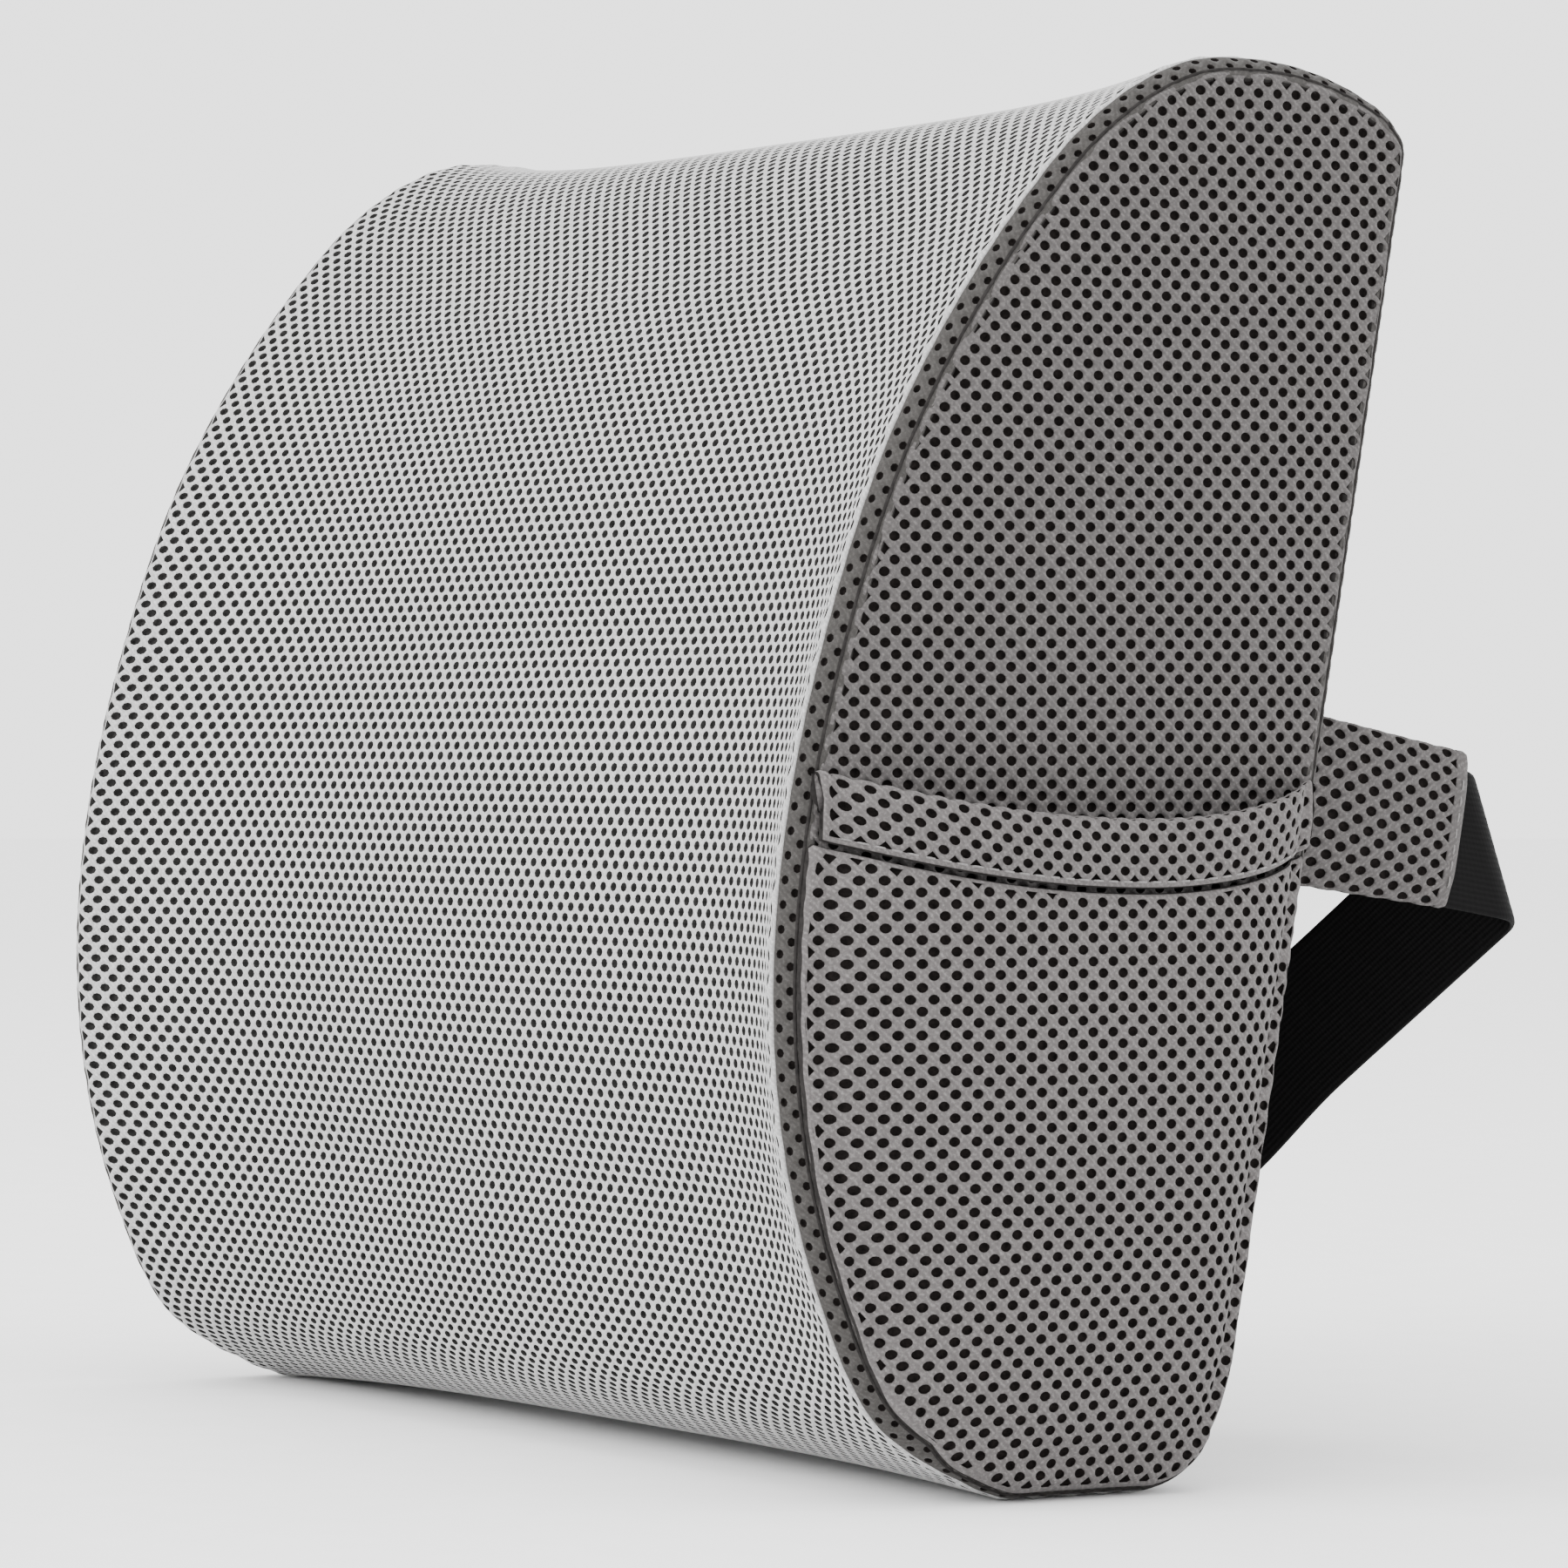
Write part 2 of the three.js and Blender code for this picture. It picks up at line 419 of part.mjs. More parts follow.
  // n points away from the strip's first face; the thickness is split evenly on both sides
  rows.forEach(([lo, hi, n]) => {
    const t = n.clone().multiplyScalar(WEB_T / 2);
    pts.push(lo.clone().add(t), hi.clone().add(t), hi.clone().sub(t), lo.clone().sub(t));
  });
  for (let i = 0; i < rows.length - 1; i++) for (let j = 0; j < 4; j++) {
    const a = i * 4 + j, b = i * 4 + (j + 1) % 4;
    tri.push([a, b, b + 4], [a, b + 4, a + 4]);
  }
  const e = (rows.length - 1) * 4;
  tri.push([0, 2, 1], [0, 3, 2], [e, e + 1, e + 2], [e, e + 2, e + 3]);
  return { geometry: geometryFrom(pts, tri), C1, d1, w1, n1 };
}
const webR = webbing(1, BAR_R, STRAIGHT_RIGHT), webL = webbing(-1, SOCK_BAR, STRAIGHT_LEFT);
add('strap_right', webR.geometry, M.black());
add('strap_left', webL.geometry, M.black());

// ---------- side-release buckle, in its own frame: x along the strap, y through it, z across ----------
const buckle = new THREE.Group();
buckle.position.set(BUCKLE_X, BUCKLE_Y, BUCKLE_Z);
root.add(buckle);
{
  // socket: a flat sleeve with side windows, and a webbing bar at its left end
  let s = mBox(-24, 10.6, -5.6, 5.6, -19, 19);
  s = s.subtract(mBox(-21.5, 12, -3.4, 3.4, -16.4, 16.4));
  s = s.subtract(mBox(-19.5, -3.4, -3.4, 3.4, -20, 20));
  let bar = mBox(-33, -23.5, -2.4, 2.4, -19, 19).subtract(mBox(-30.4, -24.4, -3, 3, -15.9, 15.9));
  bar = bar.subtract(mBox(-34, -30.3, 1.4, 3, -15.9, 15.9)).subtract(mBox(-34, -30.3, -3, -1.4, -15.9, 15.9));
  add('buckle_socket', fromManifold(s.add(bar)), M.plastic(), buckle);
  // tongue: the flanged base with its guide, and a webbing bar at its right end
  let t = mBox(11.0, 22.4, -5.2, 5.2, -18.4, 18.4);
  t = t.subtract(mBox(10, 14.2, -3.2, 3.2, 10.1, 17.6)).subtract(mBox(10, 14.2, -3.2, 3.2, -17.6, -10.1));
  t = t.add(mBox(-18, 12, -2.4, 2.4, -2.2, 2.2));
  let tb = mBox(22.0, 33, -2.4, 2.4, -18.4, 18.4).subtract(mBox(24.4, 30.4, -3, 3, -15.9, 15.9));
  tb = tb.subtract(mBox(30.3, 34, 1.4, 3, -15.9, 15.9)).subtract(mBox(30.3, 34, -3, -1.4, -15.9, 15.9));
  add('buckle_tongue', fromManifold(t.add(tb)), M.plastic(), buckle);
  for (const [name, k] of [['upper', 1], ['lower', -1]]) {
    const sh = new THREE.Shape();
    // root disc at the hinge, slim arm, and a barbed head that fills the window
    const P = [[13.4, 12.3], [13.4, 15.3], [12.2, 15.9], [-3.8, 15.9], [-3.8, 19.6], [-6.5, 20.2], [-11, 19.6], [-15.5, 17.2], [-18.8, 14.2],
      [-18.2, 12.4], [-10, 11.6], [-3, 12.2], [12.2, 11.7]];
    P.forEach(([x, z], i) => (i ? sh.lineTo(x, k * z) : sh.moveTo(x, k * z)));
    sh.closePath();
    const g = new THREE.ExtrudeGeometry(sh, { depth: 5.2, bevelEnabled: false, curveSegments: 1 });
    g.rotateX(Math.PI / 2);                      // shape y -> z, extrusion -> -y
    g.translate(0, 2.6, 0);
    add(`buckle_prong_${name}`, g, M.plastic(), buckle);
  }
}

// ---------- strap adjuster on the left half: a ladder with the webbing woven through it ----------
const GLIDE_AT = 20;                             // along the straight run from the end of the bend
{
  const glide = new THREE.Group();
  const { C1, d1, w1, n1 } = webL, p = C1.clone().add(d1.clone().multiplyScalar(GLIDE_AT));
  const m = new THREE.Matrix4().makeBasis(n1.clone().cross(w1), n1, w1);
  m.setPosition(p.x, p.y, p.z);
  glide.applyMatrix4(m);
  root.add(glide);
  const rails = mBox(-10, 10, -2.9, 2.9, 15.9, 18.6).add(mBox(-10, 10, -2.9, 2.9, -18.6, -15.9));
  let g = rails.add(mBox(-10, -7, 1.5, 2.9, -17, 17)).add(mBox(7, 10, 1.5, 2.9, -17, 17)).add(mBox(-2, 2, -2.9, -1.5, -17, 17));
  add('strap_adjuster', fromManifold(g), M.plastic(), glide);
}

// ---------- zip in the slit of the back, in the back plane's frame: x across, y out, z up the plane ----------
const zip = new THREE.Group();
zip.applyMatrix4(backFrame(0, ZIP_S));
root.add(zip);
{
  const L = ZIP_HALF;
  add('zip_tape_upper', boxAt(-L - 6, L + 6, -2.4, -1.4, 0.4, ZIP_OPEN - 0.3), M.zip(), zip);
  add('zip_tape_lower', boxAt(-L - 6, L + 6, -2.4, -1.4, -ZIP_OPEN + 0.3, -0.4), M.zip(), zip);
  add('zip_coil_upper', boxAt(-L, L, -1.1, 1.1, 0.2, 2.7), M.zip(), zip);
  add('zip_coil_lower', boxAt(-L, L, -1.1, 1.1, -2.7, -0.2), M.zip(), zip);
  add('zip_stop_right', boxAt(L + 0.4, L + 3.4, -1.1, 1.5, -3, 3), M.metal(), zip);
  add('zip_stop_left', boxAt(-L - 3.4, -L - 0.4, -1.1, 1.5, -3, 3), M.metal(), zip);
  const slider = new THREE.Group();
  slider.position.set(L - 8, 0, 0);
  zip.add(slider);
  let s = mBox(-5.5, 5.5, 1.5, 2.7, -4.2, 4.2).add(mBox(-5.5, 5.5, -1.0, 2.7, 3.1, 4.2)).add(mBox(-5.5, 5.5, -1.0, 2.7, -4.2, -3.1));
  s = s.add(mBox(-4.2, -2.6, 2.5, 6.4, -1.1, 1.1)).add(mBox(2.6, 4.2, 2.5, 6.4, -1.1, 1.1)).add(mBox(-4.2, 4.2, 5.3, 6.4, -1.1, 1.1));
  add('zip_slider', fromManifold(s), M.metal(), slider);
  // pull: a flat tab whose eye goes round the slider's bridge
  let p = mBox(-24, 2.2, 3.4, 4.6, -3.0, 3.0);
  p = p.subtract(mBox(-5.4, 1.0, 3, 5, -1.6, 1.6));
  add('zip_pull', fromManifold(p), M.metal(), slider);
}

// ---------- blank care label ----------
const label = add('care_label', boxAt(-11, 11, 0.3, 0.9, 0, 15), M.label());
label.applyMatrix4(backFrame(-112, 32));

export default root;
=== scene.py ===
# Looks of the lumbar support cushion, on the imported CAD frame. Lengths below are in millimetres
# in the row frame and become metres when a mesh is made.
import math

import bmesh
import bpy
import numpy as np
from mathutils import Matrix, Vector


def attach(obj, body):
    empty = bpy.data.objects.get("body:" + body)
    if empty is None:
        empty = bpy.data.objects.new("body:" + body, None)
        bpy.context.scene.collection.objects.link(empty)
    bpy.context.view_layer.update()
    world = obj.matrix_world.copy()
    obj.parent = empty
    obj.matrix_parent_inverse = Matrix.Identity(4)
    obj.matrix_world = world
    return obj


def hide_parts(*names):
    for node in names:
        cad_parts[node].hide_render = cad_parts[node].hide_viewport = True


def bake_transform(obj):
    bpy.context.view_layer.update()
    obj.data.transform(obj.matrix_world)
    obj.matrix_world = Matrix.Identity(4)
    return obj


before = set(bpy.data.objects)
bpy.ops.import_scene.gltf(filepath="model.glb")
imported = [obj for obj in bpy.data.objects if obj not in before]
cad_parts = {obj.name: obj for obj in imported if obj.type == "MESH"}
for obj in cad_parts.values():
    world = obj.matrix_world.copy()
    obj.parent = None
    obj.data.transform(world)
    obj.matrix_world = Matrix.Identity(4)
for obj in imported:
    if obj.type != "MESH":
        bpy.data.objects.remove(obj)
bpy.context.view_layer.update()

MM = 0.001
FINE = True

# ------------------------------------------------------------------ the section of the cushion
RING = [(-17, 0), (-23.115, 1.652), (-29, 4.3), (-39.255, 9.606), (-49, 17), (-55.792, 27.362), (-61, 39.5),
        (-66.171, 54.428), (-70, 70.4), (-72.292, 87.551), (-73, 105.1), (-72.088, 123.009), (-69.7, 141),
        (-65.844, 159.448), (-60.7, 177.9), (-54.224, 197.34), (-46.5, 216.1), (-38.024, 232.09), (-28.7, 246.9),
        (-19.438, 259.812), (-10, 271.3), (-2.855, 279.14), (4.9, 285.9), (15.577, 292.9), (27.7, 297.8),
        (43.064, 298.867), (58.2, 296.8), (69.416, 292.863), (77.9, 287.8), (81.8, 282), (81.3, 275)]
FOOT = [(39.6, 36), (36.4, 21.5), (32.6, 11.5), (26, 3.6), (17, 0)]
BASE = [(11, 0), (4, 0), (-4, 0), (-10, 0), (-14, 0)]
BACK_FOOT, UP = np.array([39.6, 36.0]), np.array([0.17188039, 0.98511783])
OUT = np.array([UP[1], -UP[0]])
BACK_LEN = 242.6106
HALF, EDGE_R = 172.0, 7.0
FLAT_X = HALF - EDGE_R          # where the edge bands start
DISH, DIP, POWER, RISE = 20.0, 6.0, 4.5, 3.0
COVER = 3.0


def smooth(v):
    t = np.clip(v, 0, 1)
    return t * t * (3 - 2 * t)


def dense(points, step=0.5):
    """A smooth line through the points, resampled evenly."""
    P = np.array(points, float)
    h = np.linalg.norm(np.diff(P, axis=0), axis=1)
    s = np.diff(P, axis=0) / h[:, None]
    T = np.empty_like(P)
    T[0], T[-1] = s[0], s[-1]
    T[1:-1] = (s[:-1] * h[1:, None] + s[1:] * h[:-1, None]) / (h[1:] + h[:-1])[:, None]
    out = []
    for i in range(len(h)):
        t = np.linspace(0, 1, max(3, int(h[i] / 0.25)), endpoint=False)[:, None]
        out.append((2 * t**3 - 3 * t**2 + 1) * P[i] + (t**3 - 2 * t**2 + t) * h[i] * T[i]
                   + (-2 * t**3 + 3 * t**2) * P[i + 1] + (t**3 - t**2) * h[i] * T[i + 1])
    Q = np.vstack(out + [P[-1:]])
    L = np.concatenate([[0], np.cumsum(np.linalg.norm(np.diff(Q, axis=0), axis=1))])
    n = max(2, int(round(L[-1] / step)) + 1)
    u = np.linspace(0, L[-1], n)
    return np.stack([np.interp(u, L, Q[:, 0]), np.interp(u, L, Q[:, 1])], 1), u


def dished(y, z, x, head):
    """The section's points moved to what they are at x. head is the distance to the back's head."""
    q = np.minimum(1, np.abs(x) / FLAT_X)
    m = 1 - q**POWER
    fr = smooth((z * 0.165 - 24 - y) / 40)
    k = np.clip((300 - z) / 120, 0.35, 1) * np.clip(z / 60, 0.1, 1)
    tp = np.clip((z - 150) / 150, 0, 1) ** 2 * np.clip(head / 17, 0, 1)
    rise = RISE * (1 - q**3) * smooth(1 - z / 40)
    return y + fr * DISH * m * k, z - tp * DIP * m + rise


def offset(Y, Z, d, closed):
    """A line of points moved to its right by d; the solid is on the left of the panels' lines."""
    P = np.stack([Y, Z], -1)
    if closed:
        T = np.roll(P, -1, 0) - np.roll(P, 1, 0)
    else:
        T = np.gradient(P, axis=0)
    T /= np.maximum(np.linalg.norm(T, axis=-1, keepdims=True), 1e-9)
    N = np.stack([T[..., 1], -T[..., 0]], -1)
    return P[..., 0] + N[..., 0] * d, P[..., 1] + N[..., 1] * d


FRONT_LINE, FRONT_S = dense([(17, 0)] + BASE + RING)
BACK_PTS = [tuple(BACK_FOOT + UP * s) for s in np.linspace(BACK_LEN, 0, 25)]
ALL_LINE, ALL_S = dense(BASE + RING + BACK_PTS[1:] + FOOT[1:] + [BASE[0]], 1.0)
ALL_LINE, ALL_S = ALL_LINE[:-1], ALL_S[:-1]
HEAD_ALL = float(ALL_S[np.argmin(np.hypot(ALL_LINE[:, 0] - 81.3, ALL_LINE[:, 1] - 275))])
HEAD_DIST = np.where(ALL_S < HEAD_ALL, HEAD_ALL - ALL_S, 0)


def end_ring(inward, x=HALF):
    y, z = dished(ALL_LINE[:, 0], ALL_LINE[:, 1], x, HEAD_DIST)
    yy, zz = offset(y, z, inward, True)      # the closed line runs clockwise from the side, so inward is to its right
    return yy, zz


# ------------------------------------------------------------------ materials
def material(name):
    m = bpy.data.materials.new(name)
    m.use_nodes = True
    nt = m.node_tree
    return m, nt, nt.nodes["Principled BSDF"]


def node(nt, kind, **values):
    n = nt.nodes.new(kind)
    for k, v in values.items():
        if k in n.inputs:
            n.inputs[k].default_value = v
        else:
            setattr(n, k, v)
    return n


def ramp(nt, fac, stops):
    r = nt.nodes.new("ShaderNodeValToRGB")
    e = r.color_ramp.elements
    while len(e) < len(stops):
        e.new(0.5)
    for i, (p, c) in enumerate(stops):
        e[i].position = p
        e[i].color = (*c, 1) if len(c) == 3 else c
    nt.links.new(fac, r.inputs["Fac"])
    return r


def knit(name, colour, light, yarn, rough=0.86, bump=0.35, sheen=0.25, fleck=0.10):
    """Air-mesh cloth between the holes: looped yarn a few tenths of a millimetre wide, with slight flecks."""
    m, nt, b = material(name)
    uv = node(nt, "ShaderNodeUVMap", uv_map="cloth")
    pos = node(nt, "ShaderNodeTexCoord")
    # the yarn's loops lie across the cloth in short chevrons
    wob = node(nt, "ShaderNodeTexNoise", Scale=260.0, Detail=2.0)
    nt.links.new(pos.outputs["Object"], wob.inputs["Vector"])
    wave = node(nt, "ShaderNodeTexWave", Scale=yarn, Distortion=2.4, Detail=1.5)
    wave.inputs["Detail Scale"].default_value = 2.0
    wave.bands_direction = "DIAGONAL"
    nt.links.new(uv.outputs["UV"], wave.inputs["Vector"])
    fibre = node(nt, "ShaderNodeTexNoise", Scale=1500.0, Detail=4.0, Roughness=0.7)
    nt.links.new(pos.outputs["Object"], fibre.inputs["Vector"])
    broad = node(nt, "ShaderNodeTexNoise", Scale=16.0, Detail=2.0)
    nt.links.new(pos.outputs["Object"], broad.inputs["Vector"])
    mix = node(nt, "ShaderNodeMath", operation="MULTIPLY_ADD")
    nt.links.new(wave.outputs["Fac"], mix.inputs[0])
    mix.inputs[1].default_value = 0.12
    nt.links.new(fibre.outputs["Fac"], mix.inputs[2])
    lo = tuple(c * (1 - fleck * 2.2) for c in colour)
    r = ramp(nt, mix.outputs[0], [(0.34, lo), (0.56, colour), (0.80, light)])
    tone = node(nt, "ShaderNodeMix", data_type="RGBA", blend_type="MULTIPLY")
    tone.inputs["Factor"].default_value = 0.22
    br = ramp(nt, broad.outputs["Fac"], [(0.3, (0.80, 0.80, 0.80)), (0.7, (1, 1, 1))])
    nt.links.new(r.outputs["Color"], tone.inputs["A"])
    nt.links.new(br.outputs["Color"], tone.inputs["B"])
    nt.links.new(tone.outputs["Result"], b.inputs["Base Color"])
    rr = node(nt, "ShaderNodeMapRange")
    rr.inputs["To Min"].default_value, rr.inputs["To Max"].default_value = rough - 0.06, min(1, rough + 0.08)
    nt.links.new(fibre.outputs["Fac"], rr.inputs["Value"])
    nt.links.new(rr.outputs["Result"], b.inputs["Roughness"])
    bp = node(nt, "ShaderNodeBump", Strength=bump, Distance=0.00025)
    nt.links.new(mix.outputs[0], bp.inputs["Height"])
    nt.links.new(bp.outputs["Normal"], b.inputs["Normal"])
    b.inputs["Sheen Weight"].default_value = sheen
    b.inputs["Sheen Roughness"].default_value = 0.5
    b.inputs["Specular IOR Level"].default_value = 0.25
    return m


def plain(name, colour, rough, scale=300.0, vary=0.12, bump=0.1, dist=0.0001, metal=0.0, sheen=0.0, spec=0.5, detail=3.0):
    m, nt, b = material(name)
    pos = node(nt, "ShaderNodeTexCoord")
    n = node(nt, "ShaderNodeTexNoise", Scale=scale, Detail=detail, Roughness=0.6)
    nt.links.new(pos.outputs["Object"], n.inputs["Vector"])
    r = ramp(nt, n.outputs["Fac"], [(0.3, tuple(c * (1 - vary) for c in colour)), (0.7, tuple(min(1, c * (1 + vary)) for c in colour))])
    nt.links.new(r.outputs["Color"], b.inputs["Base Color"])
    rr = node(nt, "ShaderNodeMapRange")
    rr.inputs["To Min"].default_value, rr.inputs["To Max"].default_value = max(0, rough - 0.07), min(1, rough + 0.07)
    nt.links.new(n.outputs["Fac"], rr.inputs["Value"])
    nt.links.new(rr.outputs["Result"], b.inputs["Roughness"])
    bp = node(nt, "ShaderNodeBump", Strength=bump, Distance=dist)
    nt.links.new(n.outputs["Fac"], bp.inputs["Height"])
    nt.links.new(bp.outputs["Normal"], b.inputs["Normal"])
    b.inputs["Metallic"].default_value = metal
    b.inputs["Sheen Weight"].default_value = sheen
    b.inputs["Specular IOR Level"].default_value = spec
    return m


def ribbed(name, colour, ribs, rough=0.62, sheen=0.12):
    """Elastic webbing: fine cords along its length with weft showing between them. The UV map runs along, then across."""
    m, nt, b = material(name)
    uv = node(nt, "ShaderNodeUVMap", uv_map="cloth")
    sep = node(nt, "ShaderNodeSeparateXYZ")
    nt.links.new(uv.outputs["UV"], sep.inputs[0])
    across = node(nt, "ShaderNodeMath", operation="MULTIPLY")
    across.inputs[1].default_value = ribs * 2 * math.pi
    nt.links.new(sep.outputs["Y"], across.inputs[0])
    sa = node(nt, "ShaderNodeMath", operation="SINE")
    nt.links.new(across.outputs[0], sa.inputs[0])
    along = node(nt, "ShaderNodeMath", operation="MULTIPLY")
    along.inputs[1].default_value = 1000 / 0.9 * 2 * math.pi / 1000 * 1000
    nt.links.new(sep.outputs["X"], along.inputs[0])
    sb = node(nt, "ShaderNodeMath", operation="SINE")
    nt.links.new(along.outputs[0], sb.inputs[0])
    h = node(nt, "ShaderNodeMath", operation="MULTIPLY_ADD")
    nt.links.new(sb.outputs[0], h.inputs[0])
    h.inputs[1].default_value = 0.3
    nt.links.new(sa.outputs[0], h.inputs[2])
    pos = node(nt, "ShaderNodeTexCoord")
    n = node(nt, "ShaderNodeTexNoise", Scale=1200.0, Detail=3.0)
    nt.links.new(pos.outputs["Object"], n.inputs["Vector"])
    mr = node(nt, "ShaderNodeMapRange")
    mr.inputs["From Min"].default_value = -1.3
    mr.inputs["From Max"].default_value = 1.3
    nt.links.new(h.outputs[0], mr.inputs["Value"])
    c = ramp(nt, mr.outputs["Result"], [(0.1, tuple(x * 0.75 for x in colour)), (0.9, tuple(x * 1.2 for x in colour))])
    nt.links.new(c.outputs["Color"], b.inputs["Base Color"])
    rr = node(nt, "ShaderNodeMapRange")
    rr.inputs["To Min"].default_value, rr.inputs["To Max"].default_value = rough - 0.08, rough + 0.1
    nt.links.new(n.outputs["Fac"], rr.inputs["Value"])
    nt.links.new(rr.outputs["Result"], b.inputs["Roughness"])
    bp = node(nt, "ShaderNodeBump", Strength=0.35, Distance=0.00012)
    nt.links.new(h.outputs[0], bp.inputs["Height"])
    nt.links.new(bp.outputs["Normal"], b.inputs["Normal"])
    b.inputs["Sheen Weight"].default_value = sheen
    b.inputs["Sheen Roughness"].default_value = 0.4
    b.inputs["Specular IOR Level"].default_value = 0.05
    return m


M_FRONT = knit("air_mesh_light", (0.355, 0.352, 0.350), (0.545, 0.545, 0.547), 520.0, sheen=0.12, bump=0.22)
# painted shade: the near-black hole materials colour each pit's lower wall and floor for the shade down the holes of
# the light mesh
M_FRONT_HOLE_SHADE = plain("air_mesh_light_hole_shade", (0.020, 0.0195, 0.019), 0.95, 900.0, 0.5, 0.4, 0.0003, spec=0.1)
M_SIDE = knit("air_mesh_grey", (0.073, 0.0680, 0.0670), (0.140, 0.1310, 0.1290), 420.0, sheen=0.05, bump=0.30)
# painted shade down the holes of the grey mesh, on the pits' lower walls and floors
M_SIDE_HOLE_SHADE = plain("air_mesh_grey_hole_shade", (0.0070, 0.0056, 0.0052), 0.95, 900.0, 0.6, 0.4, 0.0003, spec=0.08)
M_POCKET = knit("air_mesh_pocket", (0.098, 0.0905, 0.0895), (0.180, 0.1690, 0.1665), 420.0, sheen=0.05, bump=0.30)
M_BAND = knit("air_mesh_band", (0.038, 0.0355, 0.0335), (0.064, 0.0605, 0.0580), 420.0, sheen=0.04, bump=0.35)
# painted shade: a near-black seam material for the shade along the seams, on each lap's last ring and on the end seams'
# cord
M_SEAM_SHADE = plain("seam_shadow_tape", (0.018, 0.0165, 0.016), 0.92, 700.0, 0.4, 0.4, 0.0002, spec=0.1)
M_THREAD = plain("polyester_thread", (0.15, 0.143, 0.14), 0.6, 2500.0, 0.3, 0.5, 0.00012, sheen=0.2)
M_WEB = ribbed("elastic_webbing", (0.0042, 0.0041, 0.0042), 26, sheen=0.0)
M_PLASTIC = plain("moulded_acetal", (0.014, 0.014, 0.015), 0.36, 1100.0, 0.2, 0.12, 0.00006, spec=0.45)
M_METAL = plain("satin_zinc", (0.50, 0.50, 0.51), 0.34, 1400.0, 0.10, 0.10, 0.00004, metal=1.0)
M_COIL = plain("nylon_coil", (0.105, 0.100, 0.098), 0.42, 1500.0, 0.15, 0.1, 0.00005, spec=0.5)
M_TAPE = knit("zip_tape_twill", (0.080, 0.075, 0.073), (0.125, 0.118, 0.115), 700.0, rough=0.8, bump=0.5, sheen=0.1)
M_FOAM = plain("memory_foam", (0.80, 0.76, 0.64), 0.95, 900.0, 0.18, 0.6, 0.0005, spec=0.15, detail=6.0)
M_LINER = knit("liner_knit", (0.82, 0.82, 0.81), (0.93, 0.93, 0.92), 800.0, bump=0.25, sheen=0.2)
M_LABEL = plain("satin_ribbon", (0.86, 0.86, 0.85), 0.45, 1600.0, 0.05, 0.25, 0.00005, sheen=0.3)


# ------------------------------------------------------------------ meshes
def to_object(name, verts, loops, totals, mats, mat_index=None, uv=None, smooth_faces=True):
    """verts (n,3) in mm; loops a flat list of vertex numbers and totals the sides of each face."""
    me = bpy.data.meshes.new(name)
    verts, loops, totals = np.asarray(verts, np.float32) * MM, np.asarray(loops, np.int32), np.asarray(totals, np.int32)
    me.vertices.add(len(verts))
    me.vertices.foreach_set("co", verts.ravel())
    me.loops.add(len(loops))
    me.loops.foreach_set("vertex_index", loops)
    me.polygons.add(len(totals))
    start = np.concatenate([[0], np.cumsum(totals)[:-1]]).astype(np.int32)
    me.polygons.foreach_set("loop_start", start)
    try:
        me.polygons.foreach_set("loop_total", totals)
    except Exception:
        pass
    if mat_index is not None:
        me.polygons.foreach_set("material_index", np.asarray(mat_index, np.int32))
    me.polygons.foreach_set("use_smooth", np.full(len(totals), smooth_faces))
    if uv is not None:
        layer = me.uv_layers.new(name="cloth")
        layer.data.foreach_set("uv", (np.asarray(uv, np.float32)[loops] * MM).ravel())
    for m in mats:
        me.materials.append(m)
    me.update(calc_edges=True)
    me.validate()
    ob = bpy.data.objects.new(name, me)
    bpy.context.scene.collection.objects.link(ob)
    return ob


class Surf:
    """A surface given by positions on an even grid of cloth coordinates (a, b), in mm."""

    def __init__(self, A, B, P, flip=False):
        self.A, self.B, self.P = A, B, P
        du, dv = np.gradient(P, axis=0), np.gradient(P, axis=1)
        n = np.cross(du, dv)
        n /= np.maximum(np.linalg.norm(n, axis=-1, keepdims=True), 1e-12)
        self.N = -n if flip else n

    def __call__(self, a, b, h):
        ia = np.clip((a - self.A[0]) / (self.A[1] - self.A[0]), 0, len(self.A) - 1.000001)
        ib = np.clip((b - self.B[0]) / (self.B[1] - self.B[0]), 0, len(self.B) - 1.000001)
        i, j = ia.astype(int), ib.astype(int)
        u, v = (ia - i)[:, None], (ib - j)[:, None]

        def mix(G):
            return (G[i, j] * (1 - u) * (1 - v) + G[i + 1, j] * u * (1 - v) + G[i, j + 1] * (1 - u) * v + G[i + 1, j + 1] * u * v)
        n = mix(self.N)
        n /= np.maximum(np.linalg.norm(n, axis=1, keepdims=True), 1e-12)
        return mix(self.P) + n * np.asarray(h)[:, None]


def cell(pa, pb, mids):
    """Outline of one cell of a staggered lattice: pitch pa along a row, rows pb apart."""
    t = max(0.02, pa / 2 - (pa * pa / 4 + pb * pb) / pa)
    X = pa / 2 - t
    V = [(X, 0), (t, pb), (-t, pb), (-X, 0), (-t, -pb), (t, -pb)]
    out = []
    for i in range(6):
        p, q = np.array(V[i]), np.array(V[(i + 1) % 6])
        n = 0 if i in (1, 4) else mids
        for k in range(n + 1):
            out.append(p + (q - p) * k / (n + 1))
    return np.array(out)


